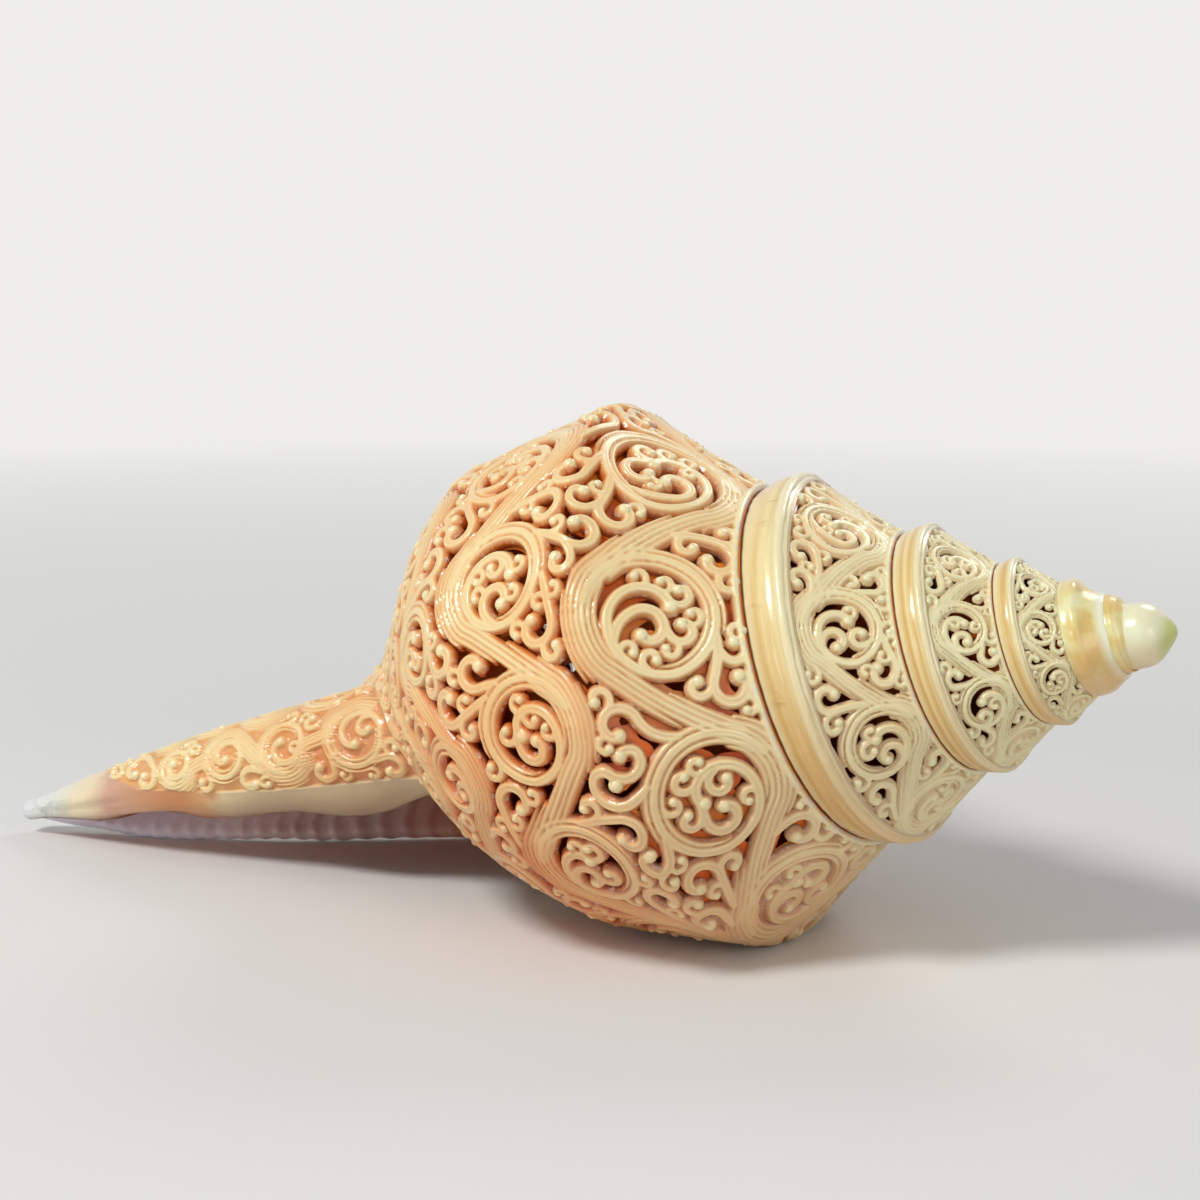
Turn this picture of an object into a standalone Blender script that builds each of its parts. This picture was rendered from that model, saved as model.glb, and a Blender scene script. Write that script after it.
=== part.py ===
"""A carved trumpet shell, lying on its opening as it rests on a table.

The shell is one solid. It is a right-handed spiral tube that grows by a fixed factor each turn, so every
outline below is given once, at growth angle 0, and scaled by the growth factor. The outside is one
spiral strip from the blunt apex to the outer lip. A spiral hollow is cut out of it, open at the lip, and
rosettes of windows are pierced through the wall between the seam and the keel of each turn.

+X points to the apex along the shell's axis as seen from above, +Z is up, and the origin is at the middle
of the bounding box's bottom face.
"""

from math import cos, exp, log, pi, radians, sin, sqrt

import bmesh
import bpy
import numpy as np
from mathutils import Vector

MM = 0.001
TURN = 2 * pi

# Growth: the shell's size at growth angle t is exp(GROWTH * t), and 1 at t = 0.
TURN_FACTOR = 1.5168
GROWTH = log(TURN_FACTOR) / TURN
LIP = 1.62  # growth angle of the outer lip at the shoulder
LIP_SWEEP = 0.28  # how much further round the lip reaches near the canal
SWEEP_TURN = 1.2  # over this last part of the growth
SWEEP_ALONG = (240.0, 400.0)  # and between these distances along the axis,
SWEEP_PLACES = (9.5, 18.0)  # which are these places on the outline
FIRST = LIP - 6 * TURN  # growth angle at which the strip starts, just under the apex
SLOWS_AT = 1.1  # growth angle past which the last turn hardly widens
SLOW_SHARE = 0.35

# How it lies: the axis rises to the apex, and the keel and the lip's edge touch the table.
AXIS_RISE = radians(12.27)
APEX_HEIGHT = 104.76
UP_ANGLE = radians(-390.45)  # direction round the axis, from straight up, of growth angle 0
LIP_CLEARANCE = 0.2

# The outline at growth angle 0, in mm: (distance from the apex along the axis, radius).
SIDE = [  # seam, ramp, keel at index 4, then the side down to the second corner
    (127.0, 63.5), (138.5, 72.2), (150.5, 81.2), (162.5, 91.2), (172.5, 98.9),
    (184.5, 97.0), (200.0, 93.8), (216.0, 90.2), (229.5, 86.6),
]
BASE_SLIM = [(241.0, 77.5), (253.0, 65.5), (264.0, 50.0), (274.0, 34.5), (284.0, 24.3)]
BASE_FULL = [(243.0, 79.5), (257.5, 71.0), (273.0, 60.0), (289.0, 45.0), (303.0, 27.5)]
SLIMMEST = -0.5  # growth angle at which the base is slimmest; it is fullest half a turn away
KEEL, SEAM_ROW = 4, 5  # the keel's point, and the last point above the next turn's seam
NECK = len(SIDE) + len(BASE_SLIM) - 1

# The canal runs on from the neck to a fixed tip.
TIP = 427.0
TIP_CLOSES = (1.5, 0.5)  # how far past the tip the canal is closed, and at what radius
CANAL_STEPS = [0.16, 0.34, 0.52, 0.70, 0.86, 1.0]
CANAL_AT = [200, 250, 300, 330, 350, 370, 385, 400, 415, 428]
CANAL_RADIUS = [20, 20.5, 19, 17, 15.4, 13.6, 11, 8.3, 6.3, 3.5]
SAG = 6.5  # how far the canal's tip hangs below the axis
SAG_FROM, SAG_TO = 250.0, 430.0
CANAL_SIDE = (-3.8, -3.25)  # growth angles between which the canal's side rises from the opening
COLUMELLA_AT = [0, 200, 300, 400, 428]
COLUMELLA_RADIUS = [0, 15, 9, 4, 3]
LIP_TAPER = 0.65  # how fast the lip closes onto the canal's tip
TIP_RADIUS = 4.5
FLARE_TURN, FLARE_CURVE = (-0.3, 1.75), 1.3  # growth angles over which the base flares to the lip, and how
SETTLE_TURN = (0.9, 1.5)  # growth angles over which it settles onto the table

APEX_BLUNTNESS = 13.0
APEX_DOME = [(6.3, 7.2), (3.6, 0.0)]  # the rounded apex above the first turn: (along, radius)
CORD_RISE = 0.011  # the raised cord on the keel of the upper turns, as a share of its radius

COLUMNS = 32  # steps in a turn outside
HOLLOW_COLUMNS = 24  # and inside
HOLLOW_TURNS = 2.9
HOLLOW_STEPS = 11  # points down each side of the hollow's cross-section
WALL = 4.0
LIP_THICKER = 0.45  # the wall thickens by this share towards the lip
THICKER_TURN = (-2.5, 0.5)  # between these growth angles
PARTITION = 2.2
CANAL_WALL = 9.0  # extra wall where the canal is solid and only carved in relief
CANAL_WALL_ALONG = (0.85, 1.0)  # from these shares of the way to the neck
CANAL_WALL_TURN = (-0.6, 0.5)  # and it ends between these growth angles
LEAST_GAP = 1.2  # the hollow ends where it would be narrower, at growth angle 0
PAST_LIP = 0.12  # how much further round the hollow's cutter runs

# Rosettes of windows: place on the outline, first and last growth angle, the step between rosettes, petals
# in each, how far the petals' middles are from the rosette's, and a petal's size, in mm at growth angle 0.
PETAL = [(-0.55, 0.0), (0.0, -0.34), (0.5, -0.27), (0.5, 0.27), (0.0, 0.34)]
PETAL_TURNED = 0.25  # of a petal's share of the turn
CUTTER_SPARE = 2.5  # mm that a window's cutter reaches past the wall on either side
ROSETTE_ROWS = [
    (2.05, -4.0, 1.35, TURN / 8, 6, 14.5, 13.0),
    (6.0, -4.31, 1.4, TURN / 11, 4, 12.5, 13.5),
    (9.3, -4.02, 1.0, TURN / 11, 2, 9.0, 12.0),
    (2.05, -10.45, -4.9, TURN / 8, 3, 10.5, 12.5),
]


def smooth(low, high, value):
    """0 below low, 1 above high, and an S-shaped rise between them."""
    t = np.clip((value - low) / (high - low), 0.0, 1.0)
    return t * t * (3 - 2 * t)


def size_at(angle):
    slow = max(angle - SLOWS_AT, 0.0)
    return exp(GROWTH * (angle - slow + SLOW_SHARE * slow))


def sag_at(along):
    return SAG * smooth(SAG_FROM, SAG_TO, along)


def table_radius(along, angle):
    """Radius at which a point of the last turn's underside meets the table."""
    drop = APEX_HEIGHT - along * sin(AXIS_RISE) - sag_at(along) * cos(AXIS_RISE) - LIP_CLEARANCE
    faces_down = max(-cos(UP_ANGLE - angle), 0.02)
    return drop / (cos(AXIS_RISE) * faces_down)


def canal_radius(along, angle):
    """A slim tube outside, and inside the opening the bare columella."""
    radius = np.interp(along, CANAL_AT, CANAL_RADIUS)
    inside = 1 - smooth(*CANAL_SIDE, angle)
    columella = np.interp(along, COLUMELLA_AT, COLUMELLA_RADIUS)
    return radius + inside * (min(radius, columella) - radius)


def flared(along, radius, angle):
    """Below the second corner the last turn opens out into the lip, whose edge lies just over the table."""
    edge = LIP + LIP_SWEEP * smooth(*SWEEP_ALONG, along)
    lip = min(table_radius(along, edge), TIP_RADIUS + LIP_TAPER * (TIP - along))
    return radius + smooth(*FLARE_TURN, angle) ** FLARE_CURVE * (max(lip, radius) - radius)


def outline(angle, corded=False):
    """The whole outline at a growth angle, from the seam to the canal's tip: a list of (along, radius)."""
    size = size_at(angle)
    full = (1 - cos(angle - SLIMMEST)) / 2
    points = [(s * size, r * size) for s, r in SIDE]
    for (slim_s, slim_r), (full_s, full_r) in zip(BASE_SLIM, BASE_FULL):
        along, radius = slim_s + full * (full_s - slim_s), slim_r + full * (full_r - slim_r)
        points.append((along * size, radius * size))
    neck, radius = points[-1]
    points[-1] = (neck, (radius + canal_radius(neck, angle)) / 2)
    for step in CANAL_STEPS:
        along = neck + (TIP - neck) * step
        points.append((along, canal_radius(along, angle)))
    points[len(SIDE):] = [(s, flared(s, r, angle)) for s, r in points[len(SIDE):]]
    settled = smooth(*SETTLE_TURN, angle)
    if settled:
        for i, (s, r) in enumerate(points):
            points[i] = (s, r + settled * (min(r, table_radius(s, angle)) - r))
    if corded:
        s, r = points[KEEL]
        points[KEEL] = (s, r * (1 + CORD_RISE))
    return [(s, r * sqrt(1 + (APEX_BLUNTNESS / s) ** 3)) for s, r in points]


def between(points, place):
    """The outline's point at a place between two of its numbered points."""
    low = min(int(place), len(points) - 2)
    share = place - low
    (s0, r0), (s1, r1) = points[low], points[low + 1]
    return s0 + share * (s1 - s0), r0 + share * (r1 - r0)


def in_place(along, radius, angle):
    """A point of the shell as it lies, in metres, before it is centred on the origin."""
    turned = UP_ANGLE - angle
    up = radius * cos(turned) - sag_at(along)
    return (
        MM * (-along * cos(AXIS_RISE) - up * sin(AXIS_RISE)),
        MM * (-radius * sin(turned)),
        MM * (APEX_HEIGHT - along * sin(AXIS_RISE) + up * cos(AXIS_RISE)),
    )


def swept(angle, place):
    """The last turn's edge reaches further round towards the canal."""
    return angle + LIP_SWEEP * smooth(*SWEEP_PLACES, place) * smooth(LIP - SWEEP_TURN, LIP, angle)


def new_object(name, bm):
    mesh = bpy.data.meshes.new(name)
    bmesh.ops.recalc_face_normals(bm, faces=bm.faces)
    bm.to_mesh(mesh)
    bm.free()
    obj = bpy.data.objects.new(name, mesh)
    bpy.context.scene.collection.objects.link(obj)
    return obj


def cutter(name, bm):
    obj = new_object(name, bm)
    obj.hide_render = True
    obj.display_type = "WIRE"
    return obj


def envelope():
    """The outside, closed across the opening: the strip of upper turns, then the whole last turn."""
    bm = bmesh.new()
    last = round((LIP - FIRST) / TURN) * COLUMNS
    start = last - COLUMNS
    upper_rows = list(range(SEAM_ROW + 1))
    rows = list(range(NECK + len(CANAL_STEPS) + 1))
    grid = {}
    for column in range(last + 1):
        angle = LIP - (last - column) * TURN / COLUMNS
        points = outline(angle, corded=column < start)
        for row in rows if column >= start else upper_rows:
            along, radius = points[row]
            grid[column, row] = bm.verts.new(in_place(along, radius, swept(angle, row)))

    def ladder(left, right):
        """Faces between two columns of vertices that have as many rungs."""
        for a, b, c, d in zip(left, left[1:], right[1:], right):
            bm.faces.new((a, b, c, d))

    def upper(column):
        return [grid[column, row] for row in upper_rows] + [grid[column + COLUMNS, 0]]

    def whole(column):
        return [grid[column, row] for row in rows]

    for column in range(start):
        ladder(upper(column), upper(column + 1))
    for column in range(start + 1, last):
        ladder(whole(column), whole(column + 1))
    # The last turn's first column lies under its own lip, whose seam splits the edge below the seam row.
    below = SEAM_ROW + 1
    ladder(whole(start)[:below], whole(start + 1)[:below])
    ladder(whole(start)[below:], whole(start + 1)[below:])
    seam = grid[last, 0]
    around_seam = [(start, SEAM_ROW), (last, 0), (start, below), (start + 1, below), (start + 1, SEAM_ROW)]
    bm.faces.new([grid[corner] for corner in around_seam])
    bm.faces.new([seam] + whole(last)[1:] + whole(start)[:SEAM_ROW:-1])
    past_tip, closing_radius = TIP_CLOSES
    tip = bm.verts.new(in_place(TIP + past_tip, closing_radius, 0))
    rim = [grid[column, rows[-1]] for column in range(start, last + 1)]
    for a, b in zip(rim, rim[1:] + rim[:1]):
        bm.faces.new((a, b, tip))
    rim = [grid[column, 0] for column in range(COLUMNS + 1)] + upper(0)[-2:0:-1]
    (dome_along, dome_radius), (top_along, _) = APEX_DOME
    dome_angles = [FIRST + TURN * i / len(rim) for i in range(len(rim))]
    dome = [bm.verts.new(in_place(dome_along, dome_radius, angle)) for angle in dome_angles]
    apex = bm.verts.new(in_place(top_along, 0, 0))
    for i in range(len(rim)):
        bm.faces.new((rim[i - 1], rim[i], dome[i], dome[i - 1]))
        bm.faces.new((dome[i - 1], dome[i], apex))
    return bm


def wall_at(angle, along, neck):
    """Wall thickness: more towards the lip, and heavy round the canal away from the lip."""
    solid = smooth(*CANAL_WALL_ALONG, along / neck) * (1 - smooth(*CANAL_WALL_TURN, angle))
    body = WALL * (1 + LIP_THICKER * smooth(*THICKER_TURN, angle))
    return body * min(1.0, size_at(angle) ** 0.6) + CANAL_WALL * solid


def hollow_walls(points, neck, inner_s, inner_r, angle, place):
    """Distance along the axis and the hollow's outer and inner radius at a place on the outline."""
    along, radius = between(points, place)
    (s0, r0), (s1, r1) = between(points, max(place - 0.5, 0)), between(points, place + 0.5)
    slope = min(abs((r1 - r0) / (s1 - s0)), 3.0)
    outer = radius - wall_at(angle, along, neck) * sqrt(1 + slope**2)
    inner = np.interp(along, inner_s, inner_r) + PARTITION * min(1.0, size_at(angle))
    return along, outer, inner


def hollow_ring(angle):
    """One cross-section of the hollow: the outer wall's inner side, then back along the turn inside it."""
    points = outline(angle)
    neck = points[NECK][0]
    inner_s, inner_r = zip(*outline(angle - TURN))
    gap_needed = LEAST_GAP * size_at(angle)
    open_places = []
    for place in np.linspace(0, len(points) - 1, 200):
        _, outer, inner = hollow_walls(points, neck, inner_s, inner_r, angle, place)
        if outer - inner > gap_needed:
            open_places.append(place)
    ring = [
        hollow_walls(points, neck, inner_s, inner_r, angle, place)
        for place in np.linspace(open_places[0], open_places[-1], HOLLOW_STEPS)
    ]
    return [(s, outer) for s, outer, _ in ring] + [(s, inner) for s, _, inner in ring[::-1]]


def hollow():
    """The spiral hollow, which runs out past the lip so that it cuts the opening."""
    bm = bmesh.new()
    count = round(HOLLOW_TURNS * HOLLOW_COLUMNS)
    rings = []
    for column in range(count + 1):
        angle = LIP - (count - column) * TURN / HOLLOW_COLUMNS
        sweep = LIP_SWEEP * smooth(LIP - SWEEP_TURN, LIP, angle)
        rings.append([(s, r, angle + sweep * smooth(*SWEEP_ALONG, s)) for s, r in hollow_ring(angle)])
    rings.append([(s, r, angle + PAST_LIP) for s, r, angle in rings[-1]])
    rings = [[bm.verts.new(in_place(*point)) for point in ring] for ring in rings]
    for ring, following in zip(rings, rings[1:]):
        for i in range(len(ring)):
            bm.faces.new((ring[i - 1], ring[i], following[i], following[i - 1]))
    bm.faces.new(rings[0])
    bm.faces.new(rings[-1])
    return bm


def on_surface(angle, place):
    return Vector(in_place(*between(outline(angle), place), angle))


def surface_frame(angle, place):
    """A point of the outside with the directions round the shell, down its outline, and outwards."""
    here = on_surface(angle, place)
    round_ = (on_surface(angle + 0.02, place) - here).normalized()
    down = on_surface(angle, place + 0.1) - here
    down = (down - down.dot(round_) * round_).normalized()
    return here, round_, down, down.cross(round_)


def add_prism(bm, frame, corners, above, below):
    """A window cutter: a flat outline of (x, y) in mm, run through the wall."""
    here, round_, down, out = frame
    rings = []
    for height in (above, -below):
        rings.append([bm.verts.new(here + MM * (x * round_ + y * down + height * out)) for x, y in corners])
    top, bottom = rings
    bm.faces.new(top)
    bm.faces.new(bottom[::-1])
    for i in range(len(top)):
        bm.faces.new((top[i - 1], bottom[i - 1], bottom[i], top[i]))


def windows():
    """Rosettes of petal-shaped windows, one row on each carved band."""
    bm = bmesh.new()
    for place, first, last, step, petals, reach, petal_size in ROSETTE_ROWS:
        for angle in np.arange(first, last, step):
            size = size_at(angle)
            here = on_surface(angle, place)
            per_angle = (on_surface(angle + 0.01, place) - here).length / 0.01
            per_place = (on_surface(angle, place + 0.1) - here).length / 0.1
            for petal in range(petals):
                turn = TURN * (petal + PETAL_TURNED) / petals
                round_by, down_by = MM * reach * size * cos(turn), MM * reach * size * sin(turn)
                spot = surface_frame(angle + round_by / per_angle, place + down_by / per_place)
                corners = []
                for far, wide in PETAL:
                    x, y = far * petal_size * size, wide * petal_size * size
                    corners.append((x * cos(turn) - y * sin(turn), x * sin(turn) + y * cos(turn)))
                add_prism(bm, spot, corners, CUTTER_SPARE * size, (WALL + CUTTER_SPARE) * size ** 0.6)
    return bm


def cut(obj, tool):
    modifier = obj.modifiers.new(tool.name, "BOOLEAN")
    modifier.operation = "DIFFERENCE"
    modifier.solver = "EXACT"
    modifier.object = tool


def shell_material():
    material = bpy.data.materials.new("carved shell")
    material.use_nodes = True
    surface = material.node_tree.nodes["Principled BSDF"]
    surface.inputs["Base Color"].default_value = (0.83, 0.54, 0.27, 1)
    surface.inputs["Roughness"].default_value = 0.35
    return material


for old in list(bpy.data.objects):
    bpy.data.objects.remove(old)

shell = new_object("shell", envelope())
shell.data.materials.append(shell_material())
tools = [cutter("spiral hollow", hollow()), cutter("windows", windows())]
corners = np.array([vertex.co for vertex in shell.data.vertices])
low, high = corners.min(axis=0), corners.max(axis=0)
for obj in [shell] + tools:
    obj.location = (-(low[0] + high[0]) / 2, -(low[1] + high[1]) / 2, -low[2])
for tool in tools:
    cut(shell, tool)
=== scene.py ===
"""A carved trumpet shell: the finish over its plain solid.

The script follows the shell from the form that every surface shares, through the pierced carving of the
last turn, the canal and the glazed inside, to the upper turns, their cord, the apex, the table and the light.
"""

from math import cos, log, pi, radians, sin

import bpy
import numpy as np
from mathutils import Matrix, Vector


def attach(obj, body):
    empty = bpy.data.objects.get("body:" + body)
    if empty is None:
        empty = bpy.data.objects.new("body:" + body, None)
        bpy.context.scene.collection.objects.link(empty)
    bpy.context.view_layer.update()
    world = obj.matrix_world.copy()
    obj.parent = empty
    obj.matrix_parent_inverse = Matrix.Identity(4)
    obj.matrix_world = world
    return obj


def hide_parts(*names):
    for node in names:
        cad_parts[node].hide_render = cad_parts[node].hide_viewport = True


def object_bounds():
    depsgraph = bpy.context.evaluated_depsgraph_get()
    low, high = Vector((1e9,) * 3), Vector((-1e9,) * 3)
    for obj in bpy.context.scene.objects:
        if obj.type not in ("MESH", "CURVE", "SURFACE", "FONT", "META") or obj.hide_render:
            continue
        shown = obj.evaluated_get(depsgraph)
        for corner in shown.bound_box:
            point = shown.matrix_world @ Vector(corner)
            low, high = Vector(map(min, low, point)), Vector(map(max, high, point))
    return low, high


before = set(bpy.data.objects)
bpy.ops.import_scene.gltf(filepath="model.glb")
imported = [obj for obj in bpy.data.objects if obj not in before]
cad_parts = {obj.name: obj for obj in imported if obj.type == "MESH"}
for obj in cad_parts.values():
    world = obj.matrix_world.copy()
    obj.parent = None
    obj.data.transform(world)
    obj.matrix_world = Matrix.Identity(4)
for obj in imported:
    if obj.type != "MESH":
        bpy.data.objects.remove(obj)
cad_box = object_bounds()

# The camera looks slightly down on the shell's side, from well in front of its right half.
AZIMUTH, ELEVATION = radians(25.375), radians(9.0)
AIM = Vector((0.0186, 0.0, 0.0990))
CAMERA_DISTANCE = 0.8066
LENS_MM = 75.0

camera = bpy.data.objects.new("camera", bpy.data.cameras.new("camera"))
camera.data.lens = LENS_MM
back = Vector((sin(AZIMUTH) * cos(ELEVATION), -cos(AZIMUTH) * cos(ELEVATION), sin(ELEVATION)))
camera.location = AIM + CAMERA_DISTANCE * back
camera.rotation_euler = back.to_track_quat("Z", "Y").to_euler()
bpy.context.scene.collection.objects.link(camera)
bpy.context.scene.camera = camera


# ---------------------------------------------------------------------------------------------------------
# The form of the shell. A trumpet shell is one tube of shell lime that winds round an axis and widens by a
# fixed factor each turn, so the outline below is given at growth angle 0, in mm, and scaled for the rest.
# A spot on the surface is a growth angle and a depth: mm down the outline at growth angle 0, from the seam.
MM = 0.001
TURN = 2 * pi
TURN_FACTOR = 1.5168  # how much wider each turn is than the last
GROWTH = log(TURN_FACTOR) / TURN
LIP = 1.62  # growth angle of the outer lip's edge at the shoulder
LIP_SWEEP = 0.28  # how much further round the lip reaches near the canal
SWEEP_ALONG, SWEEP_PLACES, SWEEP_FROM = (240, 400), (9.5, 18.0), LIP - 1.2  # by mm, station and growth angle
SLOWS_AT, SLOW_SHARE = 1.1, 0.35  # the last stretch hardly widens
AXIS_RISE = radians(12.27)  # how far the axis rises from the canal's tip to the apex, as the shell lies
APEX_HEIGHT = 104.76  # mm over the table
UP_ANGLE = radians(-390.45)  # the growth angle at which the outline stands up from the axis
LIP_CLEARANCE = 0.2  # mm over the table
SETTLES = 0.9, 1.5  # growth angles between which the last turn comes to lie on the table
SIDE = [  # seam, ramp, keel at index 4, then the side down to the second corner: (along the axis, radius)
    (127.0, 63.5), (138.5, 72.2), (150.5, 81.2), (162.5, 91.2), (172.5, 98.9),
    (184.5, 97.0), (200.0, 93.8), (216.0, 90.2), (229.5, 86.6),
]
# The base below them, at the growth angle where it is slimmest, and half a turn on, where it is fullest.
SLIMMEST = -0.5
BASE_SLIM = [(241.0, 77.5), (253.0, 65.5), (264.0, 50.0), (274.0, 34.5), (284.0, 24.3)]
BASE_FULL = [(243.0, 79.5), (257.5, 71.0), (273.0, 60.0), (289.0, 45.0), (303.0, 27.5)]
TIP = 427.0  # mm along the axis
CANAL_STEPS = [0.16, 0.34, 0.52, 0.70, 0.86, 1.0]  # shares of the way from the neck to the tip
# Places along the axis, and there the radius of the canal and of the core that its inner side winds round.
CANAL_AT = [200, 250, 300, 330, 350, 370, 385, 400, 415, 428]
CANAL_RADIUS = [20, 20.5, 19, 17, 15.4, 13.6, 11, 8.3, 6.3, 3.5]
CORE_AT = [0, 200, 300, 400, 428]
CORE_RADIUS = [0, 15, 9, 4, 3]
CORE_UNTIL, CANAL_FROM = -3.8, -3.25  # growth angles between which the canal's side rises to its edge
SAG, SAG_FROM, SAG_TO = 6.5, 250.0, 430.0  # mm that the canal hangs, between these places on the axis
LIP_TAPER, TIP_RADIUS = 0.65, 4.5  # mm of lip per mm from the tip, and at the tip
FLARES, FLARE_EASE = (-0.3, 1.75), 1.3  # growth angles between which the lip opens out, and how late
TIP_DOME, TIP_BLUNT = 1.5, 0.5  # mm that the rounded tip stands past the outline, and its end's radius
APEX_BLUNTNESS = 13.0  # mm


def smooth(low, high, value):
    """0 below low, 1 above high, and an S-shaped rise between them."""
    t = np.clip((value - low) / (high - low), 0.0, 1.0)
    return t * t * (3 - 2 * t)


def size_at(angle):
    slow = np.maximum(angle - SLOWS_AT, 0.0)
    return np.exp(GROWTH * (angle - slow + SLOW_SHARE * slow))


def sag_at(along):
    return SAG * smooth(SAG_FROM, SAG_TO, along)


def table_radius(along, angle):
    """Radius at which the underside of the last turn meets the table."""
    drop = APEX_HEIGHT - along * sin(AXIS_RISE) - sag_at(along) * cos(AXIS_RISE) - LIP_CLEARANCE
    return drop / (cos(AXIS_RISE) * np.maximum(-np.cos(UP_ANGLE - angle), 0.02))


def canal_radius(along, angle):
    radius = np.interp(along, CANAL_AT, CANAL_RADIUS)
    inside = 1 - smooth(CORE_UNTIL, CANAL_FROM, angle)
    core = np.interp(along, CORE_AT, CORE_RADIUS)
    return radius + inside * (np.minimum(radius, core) - radius)


def flared(along, radius, angle):
    """Below the second corner the last turn opens out into the lip, whose edge lies just over the table."""
    edge = LIP + LIP_SWEEP * smooth(*SWEEP_ALONG, along)
    lip = np.minimum(table_radius(along, edge), TIP_RADIUS + LIP_TAPER * (TIP - along))
    return radius + smooth(*FLARES, angle) ** FLARE_EASE * (np.maximum(lip, radius) - radius)


def stations(angle):
    """The outline's stations at each growth angle: two arrays of (station, angle), along and radius."""
    size = size_at(angle)
    full = (1 - np.cos(angle - SLIMMEST)) / 2
    along = [s * size for s, r in SIDE]
    radius = [r * size for s, r in SIDE]
    for (slim_s, slim_r), (full_s, full_r) in zip(BASE_SLIM, BASE_FULL):
        along.append((slim_s + full * (full_s - slim_s)) * size)
        radius.append((slim_r + full * (full_r - slim_r)) * size)
    neck = along[-1]
    radius[-1] = (radius[-1] + canal_radius(neck, angle)) / 2
    for share in CANAL_STEPS:
        along.append(neck + (TIP - neck) * share)
        radius.append(canal_radius(along[-1], angle))
    for i in range(len(SIDE), len(along)):
        radius[i] = flared(along[i], radius[i], angle)
    along, radius = np.array(along), np.array(radius)
    radius += smooth(*SETTLES, angle) * (np.minimum(radius, table_radius(along, angle)) - radius)
    return along, radius * np.sqrt(1 + (APEX_BLUNTNESS / along) ** 3)


def curve_weights(places, count):
    """Rows of weights that blend numbered points into one smooth curve through them all."""
    weights = np.zeros((len(places), count))
    low = np.clip(places.astype(int), 0, count - 2)
    t = places - low
    shares = (-t + 2 * t**2 - t**3, 2 - 5 * t**2 + 3 * t**3, t + 4 * t**2 - 3 * t**3, t**3 - t**2)
    for offset, share in zip((-1, 0, 1, 2), shares):
        np.add.at(weights, (np.arange(len(places)), np.clip(low + offset, 0, count - 1)), share / 2)
    return weights


def in_place(along, radius, angle):
    """Points of the shell as it lies, in mm, measured from under its apex."""
    turned = UP_ANGLE - angle
    up = radius * np.cos(turned) - sag_at(along)
    return np.stack([
        -along * cos(AXIS_RISE) - up * sin(AXIS_RISE),
        -radius * np.sin(turned),
        APEX_HEIGHT - along * sin(AXIS_RISE) + up * cos(AXIS_RISE),
    ], axis=-1)


def swept(angle, place):
    """The last turn's edge reaches further round towards the canal."""
    return angle + LIP_SWEEP * smooth(*SWEEP_PLACES, place) * smooth(SWEEP_FROM, LIP, angle)


STATIONS = len(SIDE) + len(BASE_SLIM) + len(CANAL_STEPS)
KEEL, NEXT_SEAM, CORNER, NECK = 4, 5.525, 8, len(SIDE) + len(BASE_SLIM) - 1  # places on the outline
OUTLINE_SPOTS = 2000
OUTLINE_PLACES = np.linspace(0, STATIONS - 1, OUTLINE_SPOTS)
outline_along, outline_radius = (
    curve_weights(OUTLINE_PLACES, STATIONS) @ part[:, 0] for part in stations(np.array([0.0]))
)
outline_steps = np.hypot(np.diff(outline_along), np.diff(outline_radius))
OUTLINE_DEPTHS = np.concatenate([[0], np.cumsum(outline_steps)])

# The solid's box is centred on the origin, which says where the apex's foot is.
SOLID_STEPS = 32  # a turn
edge_angles = LIP - np.arange(SOLID_STEPS + 1) * TURN / SOLID_STEPS
edge_along, edge_radius = stations(edge_angles)
edge_swept = swept(edge_angles, np.arange(STATIONS)[:, None])
solid_corners = in_place(edge_along, edge_radius, edge_swept).reshape(-1, 3)
tip_point = in_place(TIP + TIP_DOME, TIP_BLUNT, 0.0)
CENTRED = np.array(cad_box[0]) / MM - np.minimum(solid_corners.min(axis=0), tip_point)


def place_of(depth):
    return np.interp(depth, OUTLINE_DEPTHS, OUTLINE_PLACES)


def depth_of(place):
    return float(np.interp(place, OUTLINE_PLACES, OUTLINE_DEPTHS))


def surface(angles, depths):
    """Positions in mm of a grid of growth angles by depths."""
    places = place_of(depths)
    weights = curve_weights(places, STATIONS)
    along, radius = stations(angles)
    return in_place((weights @ along).T, (weights @ radius).T, swept(angles[:, None], places)) + CENTRED


# ---------------------------------------------------------------------------------------------------------
# The carver's hand. Every carved zone is a strip of the surface on which round-backed ribs are raised: a
# running vine of fine ribs, a scroll rolled up in each of its bends, and curls that leave the ribs wherever
# there is room and end in a ball. What lies between them is cut back, and pierced where it is wide enough.
FAR = 6.0  # mm beyond which a rib no longer matters
SPACING = 0.5  # mm between the spots of a rib's path
CHUNK = 12  # spots of a path that are raised at once
FLANK_TOP, FLANK_SLOPE = 0.9, 2.6  # mm below a rib's back, and per mm away from it
VEIN, VEIN_WIDTH = 0.24, 0.36  # shares of a rib's half width
BALL_LIFT, BALL_FLAT = 0.16, 2.5
WEAR, WEAR_CELL = 0.12, 14  # mm, and cells of the grid


def uneven(shape, cell, amount, seed):
    """Slow random unevenness, in mm, over a grid."""
    columns, rows = shape
    dice = np.random.default_rng(seed)
    coarse = dice.uniform(-1, 1, (columns // cell + 3, rows // cell + 3))
    x, y = np.arange(columns)[:, None] / cell, np.arange(rows)[None, :] / cell
    i, j = x.astype(int), y.astype(int)
    x, y = smooth(0, 1, x - i), smooth(0, 1, y - j)
    left = coarse[i, j] * (1 - y) + coarse[i, j + 1] * y
    right = coarse[i + 1, j] * (1 - y) + coarse[i + 1, j + 1] * y
    return amount * (left * (1 - x) + right * x - 1)


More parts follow.
